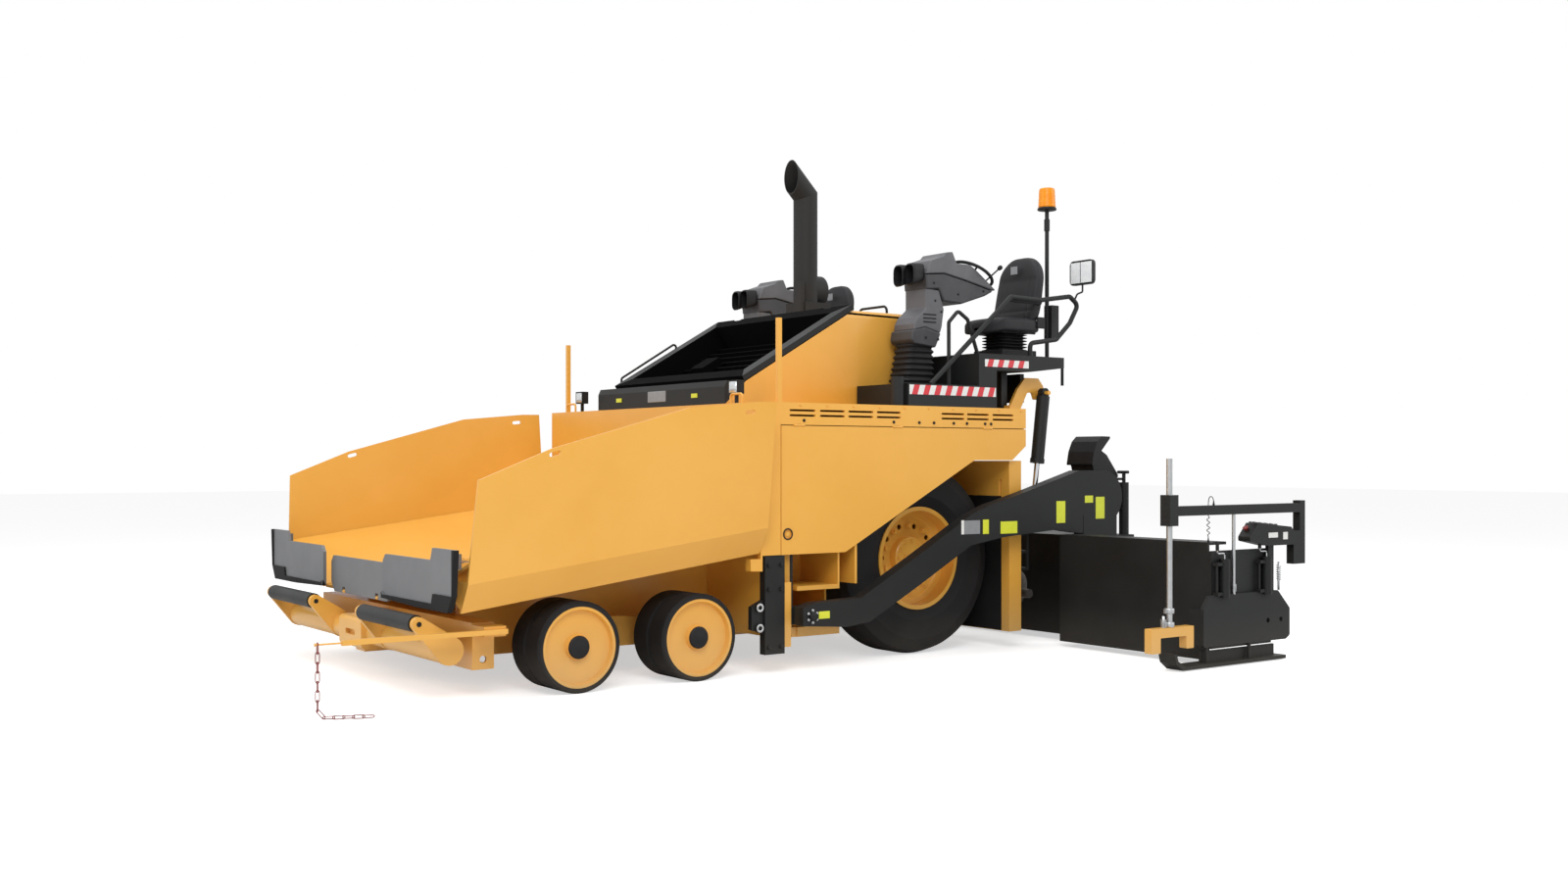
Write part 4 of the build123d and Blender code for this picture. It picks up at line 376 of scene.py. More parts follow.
for node in ("chassis", "bogie_beams", "body_shell", "side_panels", "rear_frame"):
    paint(node, yellow_enamel)
paint("push_beam", yellow_enamel)
# The hopper floor: its darker enamel is painted shade.
paint("hopper_floor", shaded_hopper_enamel)
paint("conveyors", worn_steel)
# The hood's inside and the grille's middle are painted shade in near black.
paint("hood", yellow_enamel, (black_coat, (1090, FAR, FAR), (FAR, FAR, 2000)),
      (painted_shade_black, (-570, -897, FAR), (1070, 897, 2500)))
paint("hood_grille", black_coat, (painted_shade_black, (FAR, -790, FAR), (FAR, 790, FAR)))
# The engine inside the hood: painted shade in near black.
paint("engine", painted_shade_black)
paint("exhaust", stack_coat)
paint("platforms", black_coat)
paint("consoles", grey_housing)
paint("handrails", black_coat)
paint("tow_plates", black_coat)
paint("auger_gear", black_coat)
paint("apron", grey_plate)
paint("tow_arms", black_coat)
paint("screed", black_coat)
paint("screed_consoles", black_plastic)
for side, out in SIDES:
    paint(f"wing_{side}", yellow_enamel)
    near, far = sorted((out * 1335, out * 2000))
    lip, edge = sorted((out * 1619, out * 2000))
    paint(f"wing_flap_{side}", grey_plate, (belting, (3570, FAR, FAR), (FAR, FAR, 581)),
          (belting, (3570, near, FAR), (FAR, far, 641)), (belting, (3570, lip, FAR), (FAR, edge, FAR)))
    paint(f"push_roller_{side}", black_coat)
    paint(f"side_door_{side}", yellow_enamel)
    paint(f"drive_rim_{side}", yellow_enamel)
    paint(f"drive_tyre_{side}", tyre_rubber)
    paint(f"auger_{side}", worn_steel)
    paint(f"end_gate_{side}", black_coat, (zinc_plate, (-925, FAR, 300), (-875, FAR, 980)),
          (zinc_plate, (-925, FAR, 1180), (-875, FAR, FAR)),
          (yellow_enamel, (-1120, FAR, 130), (-680, FAR, 302)),
          (zinc_plate, (-1575, FAR, 560), (-1537, FAR, FAR)))
    paint(f"lift_barrel_{side}", black_coat)
    paint(f"lift_rod_{side}", hard_chrome)
    paint(f"extension_{side}", black_coat)
    for k in (1, 2):
        paint(f"knuckle_{side}_{k}", yellow_enamel)
        paint(f"bogie_rim_{side}_{k}", yellow_enamel)
        paint(f"bogie_tyre_{side}_{k}", tyre_rubber)


# ------------------------------------------------------------------ seats

def pad(name, grid, out, body="tractor"):
    """A cushion from a grid of rings (rows run round it, and the two end rows are small rings), in drawing
    millimetres for the left seat; out = -1 mirrors it to the right one."""
    faces = facing(quads(grid.shape[0], grid.shape[1], False, True), out < 0)
    made = piece(name, placed(grid * (1, out, 1)), faces, seat_vinyl, body)
    made.modifiers.new("rounding", "SUBSURF").levels = 1
    made.modifiers["rounding"].render_levels = 1
    return made


def rings(rows, columns, power):
    """Angles of a rounded block: ring i at height cos a_i and reach sin a_i, each raised to power to square
    it off, and b_j once round it."""
    a = np.linspace(0.02, math.pi - 0.02, rows)[:, None]
    b = (TAU * np.arange(columns) / columns)[None, :]
    height, reach = signed_power(np.cos(a), power), signed_power(np.sin(a), power)
    return height + 0 * b, reach * signed_power(np.cos(b), power), reach * signed_power(np.sin(b), power)


def seat_back(side, out):
    """Tall bucket back: a rounded block 436 wide, drawn in towards its head by (1 - 0.30 k^2), where k runs
    from 0 to 1 over its top 38 %, leaning back with height; the side bolsters swell forward by 30 (y/b)^4,
    sewn channels sink 7 across its face and welts sink 8 along it."""
    up, wide, deep = rings(64, 64, 0.42)
    h = (up + 1) / 2
    width = 218 * (1 - 0.30 * np.clip((h - 0.62) / 0.38, 0, 1) ** 2)
    y = SEAT_Y + wide * width
    z = 2446 + 544 * h - 16 * np.abs(wide) ** 3 * np.clip((h - 0.8) / 0.2, 0, 1)
    face = np.clip(deep, 0, 1)
    bolster = 30 * np.abs(wide) ** 4 * np.clip(1.25 - h, 0, 1) * face
    channel = sum(np.exp(-((h - level) / 0.013) ** 2) for level in (0.22, 0.36, 0.50, 0.66))
    welt = np.exp(-((np.abs(wide) - 0.66) / 0.03) ** 2) * np.clip((0.68 - h) / 0.05, 0, 1)
    bulge = 5 * np.sin(np.clip((h - 0.68) / 0.32, 0, 1) * math.pi)
    lean = -1318 + 62 * (1 - h) ** 1.5 - 26 * h
    x = lean + (52 - 10 * h) * deep + bolster + bulge * face - (7 * channel + 8 * welt) * face
    return pad(f"seat_back_{side}", np.stack([x, y, z], -1), out)


def seat_pan(side, out):
    """Seat cushion: a rounded block crowned by 14 (1 - u^2)(1 - v^2) on top, its nose rolled down, bolsters
    22 high along both sides and two sewn channels across."""
    deep, wide, up = rings(64, 64, 0.40)
    u = deep
    top = np.clip(up, 0, 1)
    x = -1108 + 246 * u
    y = SEAT_Y + 212 * wide
    crown = 14 * (1 - u ** 2) * (1 - wide ** 2) + 22 * np.abs(wide) ** 4 * (1 - 0.5 * (u + 1) / 2)
    channel = sum(np.exp(-((u - level) / 0.035) ** 2) for level in (-0.3, 0.18))
    nose = 26 * np.clip((u - 0.55) / 0.45, 0, 1) ** 2
    z = 2440 + 54 * up + top * (crown - 6 * channel) - nose
    return pad(f"seat_pan_{side}", np.stack([x, y, z], -1), out)


def seat_parts(side, out):
    """Frame under each seat: suspension bellows of five folds, its base box, the slide rails, hinge covers,
    an armrest with its pin and the blank square on the headrest."""
    fold = np.linspace(0, 5 * TAU, 61)
    swell = 14 * np.cos(fold)
    turn = TAU * (np.arange(48) + 0.5) / 48
    rim = np.stack([signed_power(np.cos(turn), 0.35), signed_power(np.sin(turn), 0.35)], -1)
    reach = np.stack([138 + swell, 112 + swell], -1)
    loop = reach[:, None] * rim[None]
    z = np.broadcast_to((2262 + 118 * np.linspace(0, 1, 61))[:, None], loop.shape[:2])
    grid = np.stack([-1140 + loop[..., 0], out * (SEAT_Y + loop[..., 1]), z], -1)
    faces = facing(quads(61, 48, False, True), out < 0)
    piece(f"seat_bellows_{side}", placed(grid), faces, black_plastic, "tractor")
    boxes = slabs(at([-1145, -1130, -1130, -1318, -1318], out * np.array([SEAT_Y, 1010, 1330, 958, 1382]),
                     [2229, 2392, 2392, 2470, 2470]),
                  np.array([(182, 158, 28), (178, 9, 9), (178, 9, 9), (40, 7, 44), (40, 7, 44)]) / 1000)
    bevelled(piece(f"seat_frame_{side}", *boxes, black_plastic, "tractor", smooth=False), 0.005)
    a, b = np.linspace(-1, 1, 33)[:, None], (TAU * np.arange(24) / 24)[None]
    end = np.clip(1 - np.abs(a) ** 8, 0, 1) ** 0.5
    rest_x = -1130 + 168 * a + 0 * b
    rest_y = out * (1413 + 20 * end * np.cos(b))
    rest_z = 2621 + 17 * end * np.sin(b) + 2 * np.cos(math.pi * a / 2)
    rest = np.stack(np.broadcast_arrays(rest_x, rest_y, rest_z), -1)
    faces = facing(quads(33, 24, False, True), out > 0)
    arm = piece(f"armrest_{side}", placed(rest), faces, seat_vinyl, "tractor")
    pin = spun([(-0.025, 0.0), (-0.025, 0.018), (0.012, 0.018), (0.014, 0.016), (0.014, 0.0)],
               at(-1290, out * 1390, 2620), (0, out, 0), 32)
    piece(f"armrest_pin_{side}", *pin, black_plastic, "tractor")
    label = slabs(at(-1243, out * SEAT_Y, 2888), np.array([1.5, 36, 30]) / 1000)
    piece(f"headrest_label_{side}", *label, grey_film, "tractor", smooth=False)


for side, out in SIDES:
    back = seat_back(side, out)
    seat_pan(side, out)
    seat_parts(side, out)
    if out > 0:
        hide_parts("seats")


# ------------------------------------------------------------------ consoles

def block(name, outline, low, high, out, material, body="tractor", bevel=0.012):
    """A moulding of one side outline, (x, z) corners in drawing millimetres, carried from y = low to high."""
    flat = np.array(outline, float)
    count = len(flat)
    y = np.repeat([low, high], count)
    points = at(np.tile(flat[:, 0], 2), out * y, np.tile(flat[:, 1], 2))
    ring = np.arange(count)
    ahead = (ring + 1) % count
    walls = np.stack([ring, ahead, ahead + count, ring + count], -1)
    area = np.sum(flat[:, 0] * np.roll(flat[:, 1], -1) - np.roll(flat[:, 0], -1) * flat[:, 1])
    faces = [list(ring[::-1]), list(ring + count)] + walls.tolist()
    if area * out > 0:
        faces = [list(reversed(face)) for face in faces]
    made = piece(name, points, faces, material, body, smooth=False, slot="grey_plastic")
    return bevelled(made, bevel, 3)


def rounded(centre, half, power, steps):
    """Loops of a rounded rectangle about each centre: offsets half * sgn cos |cos|^power, and so with sin."""
    t = TAU * (np.arange(steps) + 0.5) / steps
    wide = half[..., None, 0] * signed_power(np.cos(t), power)
    high = half[..., None, 1] * signed_power(np.sin(t), power)
    return centre[..., None, :] + np.stack([wide, high], -1)


def console(side, out):
    """A folded gaiter for the column, the foot and body housings, the arm's two shells, twin hooded displays,
    a thin steering wheel with three spokes, a lever, buttons, vents and cover screws."""
    middle, half = CONSOLE_Y, 130
    h = np.linspace(0, 1, 65)
    folds = 7 * np.cos(h * TAU * 8)
    centre = np.stack([-268 - 34 * h, middle + 0 * h], -1)
    reach = np.stack([150 - 42 * h + folds, 118 - 14 * h + folds], -1)
    loop = rounded(centre, reach, 0.4, 40)
    z = np.broadcast_to((1962 + 345 * h)[:, None], loop.shape[:2])
    faces = facing(quads(65, 40, False, True), out < 0)
    points = at(loop[..., 0], out * loop[..., 1], z).reshape(-1, 3)
    column = piece(f"console_gaiter_{side}", points, faces, black_plastic, "tractor", slot="grey_plastic")
    low, high = middle - half + 10, middle + half - 10
    foot = [(-165, 2300), (-190, 2272), (-400, 2250), (-452, 2360), (-300, 2398), (-178, 2372)]
    neck = [(-196, 2372), (-300, 2398), (-452, 2360), (-470, 2410), (-490, 2540), (-440, 2680), (-310, 2690),
            (-310, 2540), (-230, 2470), (-200, 2420)]
    under = [(-310, 2680), (-300, 2790), (-480, 2806), (-700, 2766), (-985, 2706), (-900, 2665), (-660, 2590),
             (-480, 2600), (-430, 2690)]
    over = [(-300, 2794), (-352, 2896), (-470, 2936), (-500, 2966), (-560, 2974), (-600, 2892), (-740, 2890),
            (-820, 2842), (-1000, 2717), (-985, 2710), (-700, 2770), (-480, 2810)]
    block(f"console_foot_{side}", foot, low - 8, high + 8, out, dark_housing)
    block(f"console_body_{side}", neck, low, high, out, grey_housing)
    block(f"arm_lower_shell_{side}", under, low - 10, high + 10, out, dark_housing)
    block(f"arm_upper_shell_{side}", over, low - 18, high + 18, out, grey_housing)
    u = np.linspace(0, 1, 13)
    hoods = []
    for shift in (-64, 64):
        centre = np.stack([middle + shift + 0 * u, 2812 - 26 * u], -1)
        grow = np.sin(np.clip(u / 0.16, 0, 1) * math.pi / 2)
        reach = np.stack([(44 + 14 * u) * grow, (62 + 22 * u) * grow], -1)
        reach[-1] *= 0.86
        loop = rounded(centre, reach, 0.55, 28)
        x = np.broadcast_to((-322 + 132 * u)[:, None], loop.shape[:2])
        grid = at(x, out * loop[..., 0], loop[..., 1]).reshape(-1, 3)
        cap = at(-196, out * (middle + shift), 2786)
        rim = np.arange(12 * 28, 13 * 28)
        grid = np.concatenate([grid, cap[None]])
        fan = np.stack([rim, np.roll(rim, -1), np.full(28, len(grid) - 1), np.full(28, len(grid) - 1)], -1)
        faces = np.concatenate([quads(13, 28, False, True), fan])
        hoods.append((grid, facing(faces, out > 0)))
    piece(f"display_hoods_{side}", *joined(*hoods), black_plastic, "tractor", slot="grey_plastic")
    hub, lean = np.array([-875, out * middle, 2840.0]), np.array([-0.498, 0, 0.867])
    side_way = np.array([0, 1.0, 0])
    up_way = np.cross(lean, side_way)
    t = TAU * np.arange(72) / 72
    circle = hub + 170 * (np.cos(t)[:, None] * side_way + np.sin(t)[:, None] * up_way)
    wheel = [swept(at(*circle.T), 0.0125, 12, closed=True)]
    for angle in np.radians([90, 210, 330]):
        end = hub + 166 * (math.cos(angle) * side_way + math.sin(angle) * up_way)
        sag = 10 * np.sin(np.linspace(0, math.pi, 7))[:, None] * lean
        run = hub + np.linspace(0.1, 1, 7)[:, None] * (end - hub) - sag
        wheel.append(swept(at(*run.T), np.linspace(0.011, 0.007, 7), 12))
    boss = [(-0.120, 0.0), (-0.120, 0.026), (-0.02, 0.028), (-0.014, 0.042), (0.006, 0.042), (0.012, 0.034),
            (0.013, 0.0)]
    piece(f"steering_wheel_{side}", *joined(*wheel), black_plastic, "tractor", slot="grey_plastic")
    piece(f"steering_boss_{side}", *spun(boss, at(*hub), lean, 40), black_plastic, "tractor",
          slot="grey_plastic")
    stick = np.array([(-900, middle + 60, 2740), (-930, middle + 84, 2775), (-975, middle + 126, 2832),
                      (-1020, middle + 166, 2886)], float) * (1, out, 1)
    grip = np.array([0.007, 0.006, 0.006, 0.006])
    rod = swept(at(*stick.T), grip, 12)
    knob = [(-0.024, 0.0), (-0.022, 0.010), (-0.010, 0.017), (0.006, 0.018), (0.016, 0.012), (0.020, 0.0)]
    way = (stick[-1] - stick[-2]) / np.linalg.norm(stick[-1] - stick[-2])
    piece(f"drive_lever_{side}", *joined(rod, spun(knob, at(*stick[-1]), way, 12)), black_plastic, "tractor")
    button = [(0.0, 0.0095), (0.004, 0.0095), (0.006, 0.007), (0.006, 0.0)]
    row, column_y = np.meshgrid(np.linspace(-628, -728, 5), middle + np.array([-70, -20, 40, 84]))
    keys = at(row.ravel(), out * column_y.ravel(), 2891)
    piece(f"arm_buttons_{side}", *spun(button, keys, (0.02, 0, 1), 16), black_plastic, "tractor")
    face_y = out * (high + 1.5)
    slots = slabs(at([-345, -345, -345], face_y, [2438, 2466, 2494]), np.array([62, 2.2, 5]) / 1000)
    lower = slabs(at([-300, -420], out * (high + 9.5), [2320, 2312]), np.array([9, 2, 9]) / 1000)
    slots = joined(slots, lower)
    piece(f"console_vents_{side}", *slots, black_plastic, "tractor", smooth=False)
    screws = at([-400, -460, -380, -880, -620], out * np.array([high, high, high + 10, high + 10, high + 10]),
                [2600, 2520, 2730, 2700, 2660])
    head = [(0.0, 0.009), (0.003, 0.009), (0.005, 0.006), (0.005, 0.0)]
    piece(f"console_screws_{side}", *spun(head, screws, (0, out, 0), 14), black_plastic, "tractor")
    return column


for side, out in SIDES:
    gaiter = console(side, out)
    if out > 0:
        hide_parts("consoles")


# ------------------------------------------------------------------ end gates

def gate_works(side, out):
    """On each end gate: zinc springs, crank handles bent through two right angles, collars on the sensor
    tube, and the control box's buttons, red knob and pale plate."""
    body = f"extension_{side}"
    y = 3004
    t = np.linspace(0, TAU * 7, 127)
    coils = []
    for x, low, high in ((-2060, 560, 668), (-1556, 508, 560), (-838, 302, 356)):
        depth = 2990 if x != -838 else 2975
        path = at(x + 17 * np.cos(t), out * (depth + 17 * np.sin(t)), low + (high - low) * t / t[-1])
        coils.append(swept(path, 0.0026, 8))
    piece(f"gate_springs_{side}", *joined(*coils), zinc_plate, body)
    long_rod = [(0, 0.0), (0, 0.009), (0.20, 0.009), (0.20, 0.0)]
    short_rod = [(0, 0.0), (0, 0.010), (0.075, 0.010), (0.08, 0.0)]
    rods = joined(spun(long_rod, at(-2060, out * 2990, 492), (0, 0, 1), 20),
                  spun(short_rod, at(-838, out * 2975, 300), (0, 0, 1), 20))
    piece(f"spring_rods_{side}", *rods, zinc_plate, body)
    handles, grips = [], []
    for x in (-1440, -1904):
        bend = np.array([(x, y, 735), (x, y, 762), (x + 4, y, 770), (x + 12, y, 774), (x + 66, y, 774),
                         (x + 74, y, 778), (x + 78, y, 786), (x + 78, y, 800)], float) * (1, out, 1)
        handles.append(swept(at(*bend.T), 0.0055, 12))
        grip = [(0, 0.0), (0, 0.010), (0.004, 0.0125), (0.056, 0.0115), (0.062, 0.008), (0.062, 0.0)]
        grips.append(spun(grip, at(x + 78, out * y, 796), (0, 0, 1), 20))
    piece(f"crank_handles_{side}", *joined(*handles), zinc_plate, body)
    piece(f"crank_grips_{side}", *joined(*grips), black_plastic, body)
    collar = [(0.0, 0.0205), (0.0, 0.031), (0.004, 0.033), (0.030, 0.033), (0.034, 0.031), (0.034, 0.0205)]
    collars = spun(collar, at([-900, -900], out * 2975, [300, 392]), (0, 0, 1), 32)
    lugs = slabs(at([-866, -866], out * 2975, [317, 409]), np.array([14, 9, 15]) / 1000)
    piece(f"tube_collars_{side}", *collars, zinc_plate, body)
    piece(f"tube_collar_lugs_{side}", *lugs, zinc_plate, body, smooth=False)
    button = [(0.0, 0.012), (0.006, 0.012), (0.009, 0.008), (0.009, 0.0)]
    row, rank = np.tile(np.arange(5), 2), np.repeat([0, 1], 5)
    keys = np.stack([-1800 - 62 * row, 2945 + 30 * rank, 974 - 5.4 * row], -1) * (1, out, 1)
    piece(f"box_buttons_{side}", *spun(button, at(*keys.T), (-0.09, 0, 1), 18), grey_housing, body)
    knob = [(0.0, 0.013), (0.012, 0.013), (0.016, 0.020), (0.024, 0.020), (0.028, 0.014), (0.028, 0.0)]
    piece(f"box_stop_knob_{side}", *spun(knob, at(-1738, out * 2960, 926), (0.6, 0, 0.8), 28), red_link, body)
    plates = slabs(at([-1950, -2090], out * 3026, [886, 878]), np.array([(52, 1, 18), (26, 1, 26)]) / 1000)
    piece(f"box_plates_{side}", *plates, white_film, body, smooth=False)


for side, out in SIDES:
    gate_works(side, out)


# ------------------------------------------------------------------ wheels

def wheel_faces():
    """Black dust caps on the bogie hubs; a bolt ring and a drain plug on each drive hub."""
    for side, out in SIDES:
        for k, x in ((1, 2728), (2, 1868)):
            cap = [(-0.016, 0.0712), (-0.003, 0.0712), (0.003, 0.067), (0.006, 0.058), (0.004, 0.030),
                   (0.006, 0.026), (0.006, 0.0)]
            piece(f"hub_cap_{side}_{k}", *spun(cap, at(x, out * 1490, 280), (0, out, 0), 48), black_plastic,
                  f"bogie_wheel_{side}_{k}", slot="grey_plastic")
        turn = TAU * np.arange(12) / 12
        ring = at(DRIVE_X + 122 * np.cos(turn), out * 1198, DRIVE_Z + 122 * np.sin(turn))
        bolts(f"drive_hub_bolts_{side}", ring, (0, out, 0), 0.019, yellow_enamel, f"drive_wheel_{side}")
        plug = at([DRIVE_X + 60], out * 1198, [DRIVE_Z])
        bolts(f"drive_hub_plug_{side}", plug, (0, out, 0), 0.030, yellow_enamel, f"drive_wheel_{side}")
        turn = TAU * (np.arange(10) + 0.5) / 10
        studs = at(DRIVE_X + 235 * np.cos(turn), out * 1164, DRIVE_Z + 235 * np.sin(turn))
        bolts(f"wheel_nuts_{side}", studs, (0, out, 0), 0.030, yellow_enamel, f"drive_wheel_{side}")


# ------------------------------------------------------------------ chain

def chain_links():
    """Round-wire oval links: centreline of two straights and two half rounds, swept by the wire's circle. A
    link is laid between two joints of the chain and rolled about its length, fresh red and faded red by
    turns."""
    wire, inner, length, gap = 3.0, 8.0, 58.0, 6.0
    step = length - gap
    top, x, y = 410 + 5 + 0.5, 4340 - 16, 1480
    lying = (inner + 3 * wire) * math.sqrt(0.5)
    hanging = np.array([(x, y, top - k * step) for k in range(8)])
    heading = np.array([-287.0, 127.0, 0.0]) / math.hypot(287, 127)
    reach = math.sqrt(step ** 2 - (hanging[-1, 2] - lying) ** 2)
    on_ground = np.array([x, y, lying]) + heading * (reach + step * np.arange(6))[:, None]
    joints = np.concatenate([hanging, on_ground])
    k = np.arange(13)
    roll = np.radians(90 * (k % 2) + np.select([k > 7, k == 7], [45, 30], 0))
    start, end = joints[:-1], joints[1:]
    along = (end - start) / np.linalg.norm(end - start, axis=1, keepdims=True)
    level = np.cross((0, 1.0, 0), along)
    level /= np.linalg.norm(level, axis=1, keepdims=True)
    across = np.cross(along, level)
    wide = np.cos(roll)[:, None] * across + np.sin(roll)[:, None] * level
    straight, ring = length / 2 - inner, inner + wire
    t = np.linspace(0, math.pi, 9)
    line = np.concatenate([np.stack([ring * np.cos(t), straight + ring * np.sin(t)], -1),
                           np.stack([-ring * np.cos(t), -straight - ring * np.sin(t)], -1)])
    ahead = np.roll(line, -1, 0) - np.roll(line, 1, 0)
    normal = np.stack([ahead[:, 1], -ahead[:, 0]], -1) / np.linalg.norm(ahead, axis=1, keepdims=True)
    s = TAU * np.arange(10) / 10
    flat = line[:, None] + wire * 0.97 * np.cos(s)[None, :, None] * normal[:, None]
    depth = wire * 0.97 * np.broadcast_to(np.sin(s), flat.shape[:2])
    third = np.cross(along, wide)
    middle = (start + end) / 2
    grid = (middle[:, None, None] + flat[None, ..., 0:1] * wide[:, None, None] + flat[None, ..., 1:2]
            * along[:, None, None] + depth[None, ..., None] * third[:, None, None])
    grid = grid.reshape(13, -1, 3) / 1000 + (SHIFT, 0, 0)
    faces = quads(len(line), 10, True, True)
    red = piece("chain_red_links", *many(180, faces, grid[0::2]), red_link, "tractor", slot="chain_paint")
    piece("chain_faded_links", *many(180, faces, grid[1::2]), faded_link, "tractor", slot="chain_paint")
    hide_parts("chain")


# ------------------------------------------------------------------ films, plates and stripes

def film(name, corners, out, material, body, lift=0.8, corner_r=0.0):
    """A thin blank plate on a side face: corners (x0, z0, x1, z1, y) in drawing millimetres, lift thick."""
    x0, z0, x1, z1, y = corners
    centre = at((x0 + x1) / 2, out * (y + lift / 2), (z0 + z1) / 2)
    half = np.array([abs(x1 - x0), lift, abs(z1 - z0)]) / 2000
    made = piece(name, *slabs(centre, half), material, body, smooth=False)
    return bevelled(made, corner_r / 1000, 3) if corner_r else made


def stripes(name, x0, x1, z0, z1, y, out, pitch, body):
    """Red and white warning stripes on a platform's edge: slanting red bands, parallelograms cut to the
    strip."""
    film(f"{name}_white", (x0, z0, x1, z1, y), out, white_film, body, 0.8)
    count = int(abs(x1 - x0) // pitch)
    start = x0 + np.sign(x1 - x0) * pitch * (np.arange(count) + 0.2)
    slant = np.sign(x1 - x0) * 0.35 * (z1 - z0)
    width = np.sign(x1 - x0) * pitch * 0.5
    low = np.stack([start, start + width], -1)
    face = y + 1.3
    bottom = at(low, out * face, z0)
    top = at(low[:, ::-1] + slant, out * face, z1)
    loops = np.concatenate([bottom, top], 1)
    inner = loops - (0, out * 0.0004, 0)
    points = np.concatenate([loops, inner], 1)
    faces = np.array([(0, 1, 2, 3), (7, 6, 5, 4), (0, 4, 5, 1), (1, 5, 6, 2), (2, 6, 7, 3), (3, 7, 4, 0)])
    if out * np.sign(x1 - x0) > 0:
        faces = faces[:, ::-1]
    piece(f"{name}_red", *many(8, faces, points), red_film, body, smooth=False)


def labels():
    """Blank safety films on the tow arms and the fascia, the platforms' stripes and a black sheet of painted
    shade on the intake's floor."""
    for side, out in SIDES:
        film(f"arm_plate_{side}", (-310, 882, -464, 980, ARM_Y), out, grey_film, "screed")
        film(f"arm_plate_edge_{side}", (-282, 882, -308, 983, ARM_Y), out, white_film, "screed")
        spots = ((-493, 879, -551, 983), (-669, 876, -839, 965), (-1250, 940, -1345, 1105),
                 (-1560, 1088, -1650, 1142), (-1680, 963, -1779, 1131))
        for k, spot in enumerate(spots, 1):
            film(f"arm_label_{side}_{k}", (*spot, ARM_Y), out, warn_film, "screed")
        film(f"pivot_label_{side}", (1000, 356, 909, 405, ARM_Y), out, warn_film, "screed")
        stripes(f"lower_stripes_{side}", 110, -730, 1882, 1950, PANEL_Y, out, 105, "tractor")
        stripes(f"upper_stripes_{side}", -620, -1070, 2104, 2158, PANEL_Y, out, 105, "tractor")
    # A near-black sheet on the deck inside the hood: painted shade.
    floor = slabs(at(250, 0, 1802.5), np.array([790, 866, 1.5]) / 1000)
    bevelled(piece("intake_painted_shade_sheet", *floor, painted_shade_black, "tractor", smooth=False), 0.001)
    badge = slabs(at(1276, -10, 1885), np.array([6, 130, 42]) / 1000)
    bevelled(piece("fascia_badge", *badge, grey_film, "tractor", smooth=False), 0.012, 3)
    marks = slabs(at([1284, 1284], [-565, 515], [1875, 1875]), np.array([3, 38, 15]) / 1000)
    piece("fascia_marks", *marks, warn_film, "tractor", smooth=False)


# ------------------------------------------------------------------ fastenings

def fastenings():
    """Bolt heads along the panels and tow plates, the tow pins' caps and washers, black sheets of painted
    shade behind the drive wheels and the door latches' rings."""
    for side, out in SIDES:
        face = (0, out, 0)
        dots = at([1040, 255, 19, -120, -310, -440, -620, -680], out * PANEL_Y, 1681)
        bolts(f"panel_bolts_{side}", dots, face, 0.015, black_coat, "tractor")
        row = np.linspace(1300, -990, 11)
        bolts(f"panel_edge_bolts_{side}", at(row, out * PANEL_Y, 1782), face, 0.011, yellow_enamel, "tractor")
        turn = np.radians(30 + 60 * np.arange(6))
        pin = at(1050 + 40 * np.cos(turn), out * ARM_Y, 375 + 40 * np.sin(turn))
        bolts(f"tow_pin_bolts_{side}", pin, face, 0.013, zinc_plate, "screed")
        cap = [(0.0, 0.030), (0.012, 0.030), (0.016, 0.024), (0.016, 0.0)]
        piece(f"tow_pin_cap_{side}", *spun(cap, at(1050, out * 1620, 375), face, 32), black_coat, "tractor")
        ring = [(-0.002, 0.0148), (-0.002, 0.0285), (0.004, 0.0285), (0.0055, 0.026), (0.0055, 0.0165),
                (0.004, 0.0148)]
        washers = spun(ring, at([1400, 1400], out * PANEL_Y, [309, 444]), face, 32)
        piece(f"tow_washers_{side}", *washers, zinc_plate, "tractor")
        plate = at([1230, 1330, 1230, 1330, 1230, 1330], out * PANEL_Y, [180, 180, 560, 560, 720, 720])
        bolts(f"tow_plate_bolts_{side}", plate, face, 0.024, black_coat, "tractor")
        # Behind each drive tyre, a black sheet in the belting finish: painted shade.
        shade_sheet = slabs(at(-902, out * 1085, 640), np.array([1.5, 295, 505]) / 1000)
        bevelled(piece(f"arch_painted_shade_{side}", *shade_sheet, belting, "tractor", smooth=False), 0.0012)
        latch = [(0.0, 0.034), (0.0, 0.040), (0.004, 0.039), (0.0055, 0.035), (0.004, 0.031), (0.0, 0.030)]
        piece(f"latch_ring_{side}", *spun(latch, at(1174, out * PANEL_Y, 922), face, 40), black_plastic,
              f"side_door_{side}")


# ------------------------------------------------------------------ lamps, beacon, mirror

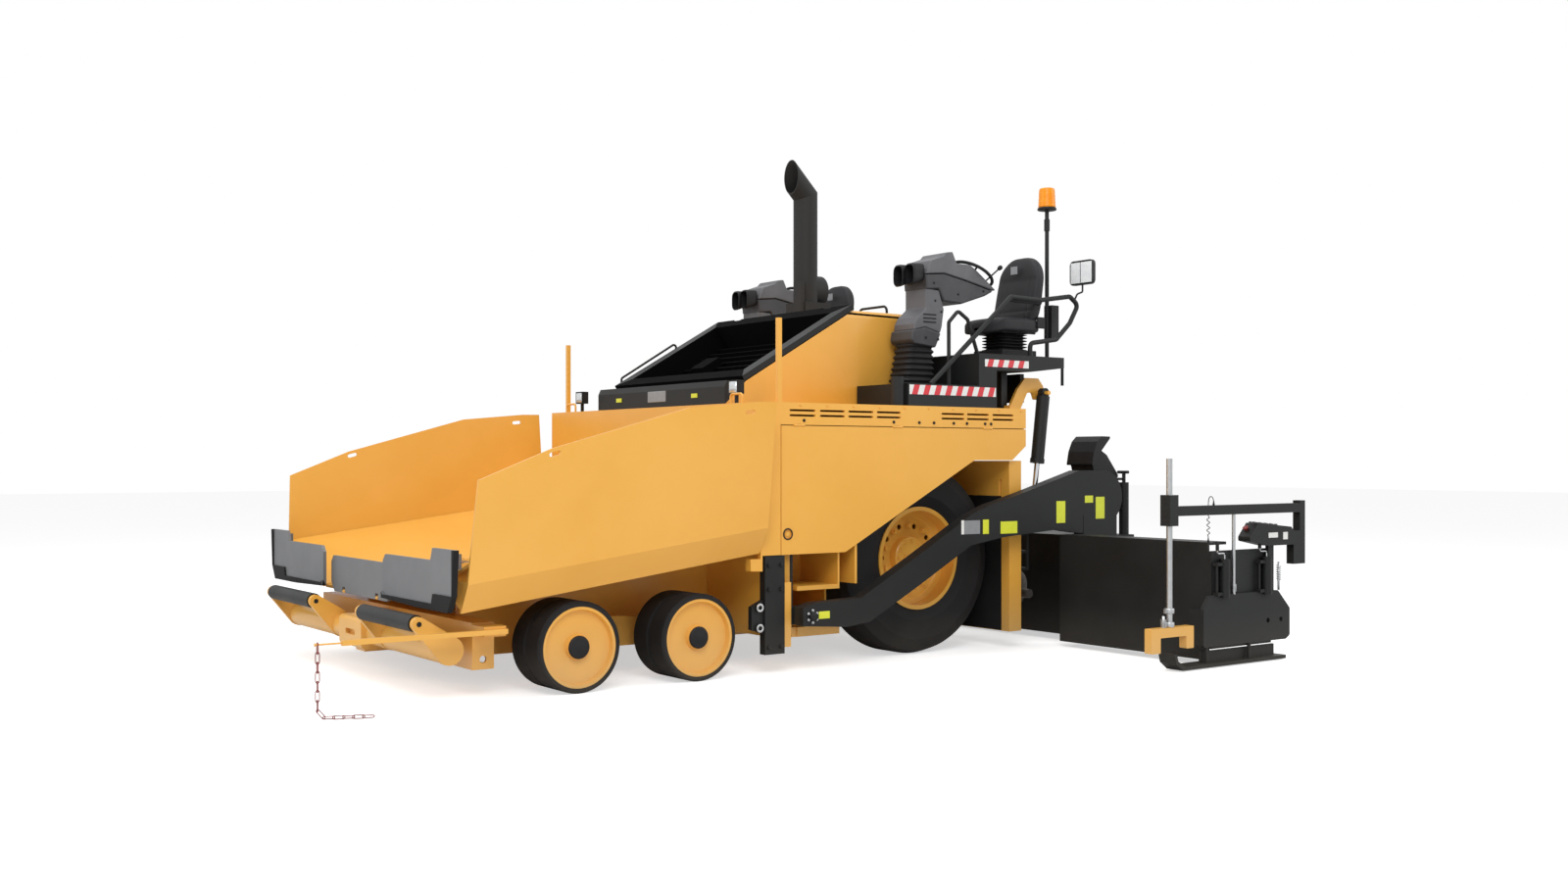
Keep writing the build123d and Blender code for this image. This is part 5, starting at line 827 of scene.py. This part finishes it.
def lamps():
    """Work-lamp lenses with vertical flutes, and the beacon: an amber dome with rings about a black foot."""
    for side, out in SIDES:
        flute = 12
        u = np.linspace(-1, 1, 2 * flute + 1)
        v = np.linspace(-1, 1, 9)
        u, v = np.meshgrid(u, v)
        crown = 0.007 * (1 - u ** 4) * (1 - v ** 4) + 0.0008 * np.cos(math.pi * flute * u)
        lens = at(1345, out * (1100 + 46 * u), 1912 + 38 * v)
        lens = lens + np.stack([crown, 0 * crown, 0 * crown], -1)
        faces = facing(quads(9, 2 * flute + 1, False, False), out > 0)
        piece(f"work_lamp_lens_{side}", lens.reshape(-1, 3), faces, lamp_glass, "tractor")
    bend = np.linspace(0, math.pi / 2, 8)
    dome = [(0.020, 0.066)]
    dome += [(0.020 + 0.013 * k, 0.0668 - 0.0006 * k + (0.0010 if k % 2 else 0)) for k in range(11)]
    dome += [(0.158 + 0.014 * math.sin(b), 0.046 + 0.014 * math.cos(b)) for b in bend] + [(0.173, 0.0)]
    glass = piece("beacon_dome", *spun(dome, at(-1470, 1300, 3360), (0, 0, 1), 48), amber_lens, "tractor",
                  slot="beacon_lens")
    foot = [(0.0, 0.0), (0.0, 0.070), (0.004, 0.0740), (0.014, 0.0740), (0.021, 0.068), (0.021, 0.0)]
    piece("beacon_foot", *spun(foot, at(-1470, 1300, 3360), (0, 0, 1), 48), black_plastic, "tractor")
    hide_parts("beacon")
    # Mirror panes, white as painted reflection.
    panes = slabs(at([-1644, -1644], [1435, 1547], [2870, 2870]), np.array([(1, 48, 80), (1, 56, 80)]) / 1000)
    piece("mirror_panes", *panes, mirror_glass, "tractor", smooth=False)


wheel_faces()
chain_links()
labels()
fastenings()
lamps()


# ------------------------------------------------------------------ studio

def studio():
    """Pale floor and a white room; soft lamps that leave colours about as they are written."""
    world = bpy.data.worlds.new("studio")
    bpy.context.scene.world = world
    world.use_nodes = True
    tree = world.node_tree
    tree.nodes.clear()
    seen = put(tree, "LightPath").outputs
    shown = put(tree, "Math", {0: seen["Is Camera Ray"], 1: seen["Is Glossy Ray"]}, operation="MAXIMUM")
    shown = put(tree, "Math", {0: shown.outputs[0], 1: seen["Is Transmission Ray"]}, operation="MAXIMUM")
    strength = put(tree, "MapRange", {"Value": shown.outputs[0], "To Min": 0.46, "To Max": 1.0})
    light = put(tree, "Background", {"Color": (1, 1, 1, 1), "Strength": strength.outputs[0]})
    put(tree, "OutputWorld", {"Surface": light.outputs[0]})
    floor = bpy.data.materials.new("pale_floor")
    floor.use_nodes = True
    tree = floor.node_tree
    tree.nodes.clear()
    seen = put(tree, "LightPath").outputs
    matt = put(tree, "BsdfDiffuse", {"Color": (0.86, 0.86, 0.86, 1)})
    glow = put(tree, "Emission", {"Color": (1, 1, 1, 1), "Strength": 0.55})
    both = put(tree, "AddShader", {0: matt.outputs[0], 1: glow.outputs[0]})
    shader = put(tree, "MixShader", {0: seen["Is Camera Ray"], 1: matt.outputs[0], 2: both.outputs[0]})
    put(tree, "OutputMaterial", {"Surface": shader.outputs[0]})
    data = bpy.data.meshes.new("floor")
    data.from_pydata([(-60, -60, 0), (60, -60, 0), (60, 60, 0), (-60, 60, 0)], [], [(0, 1, 2, 3)])
    data.materials.append(floor)
    ground = bpy.data.objects.new("floor", data)
    bpy.context.scene.collection.objects.link(ground)
    for name, place, aim, size, power in (("key", (5.5, 9.0, 8.5), (0, 0, 1), 6.0, 620.0),
                                          ("fill", (-9.0, 7.0, 6.0), (-1, 0, 1), 6.0, 260.0),
                                          ("front", (10.0, -3.0, 5.0), (2, 0, 1), 5.0, 240.0),
                                          ("top", (0.0, 0.0, 10.0), (0, 0, 0), 8.0, 380.0)):
        lamp = bpy.data.lights.new(name, "AREA")
        lamp.size, lamp.energy = size, power
        holder = bpy.data.objects.new(name, lamp)
        bpy.context.scene.collection.objects.link(holder)
        holder.location = place
        away = np.array(place) - np.array(aim)
        flat = math.hypot(away[0], away[1])
        turn = math.atan2(away[0], -away[1]) if flat > 1e-6 else 0
        holder.rotation_euler = (math.atan2(flat, away[2]), 0, turn)
    bpy.context.scene.view_settings.view_transform = "Standard"


studio()
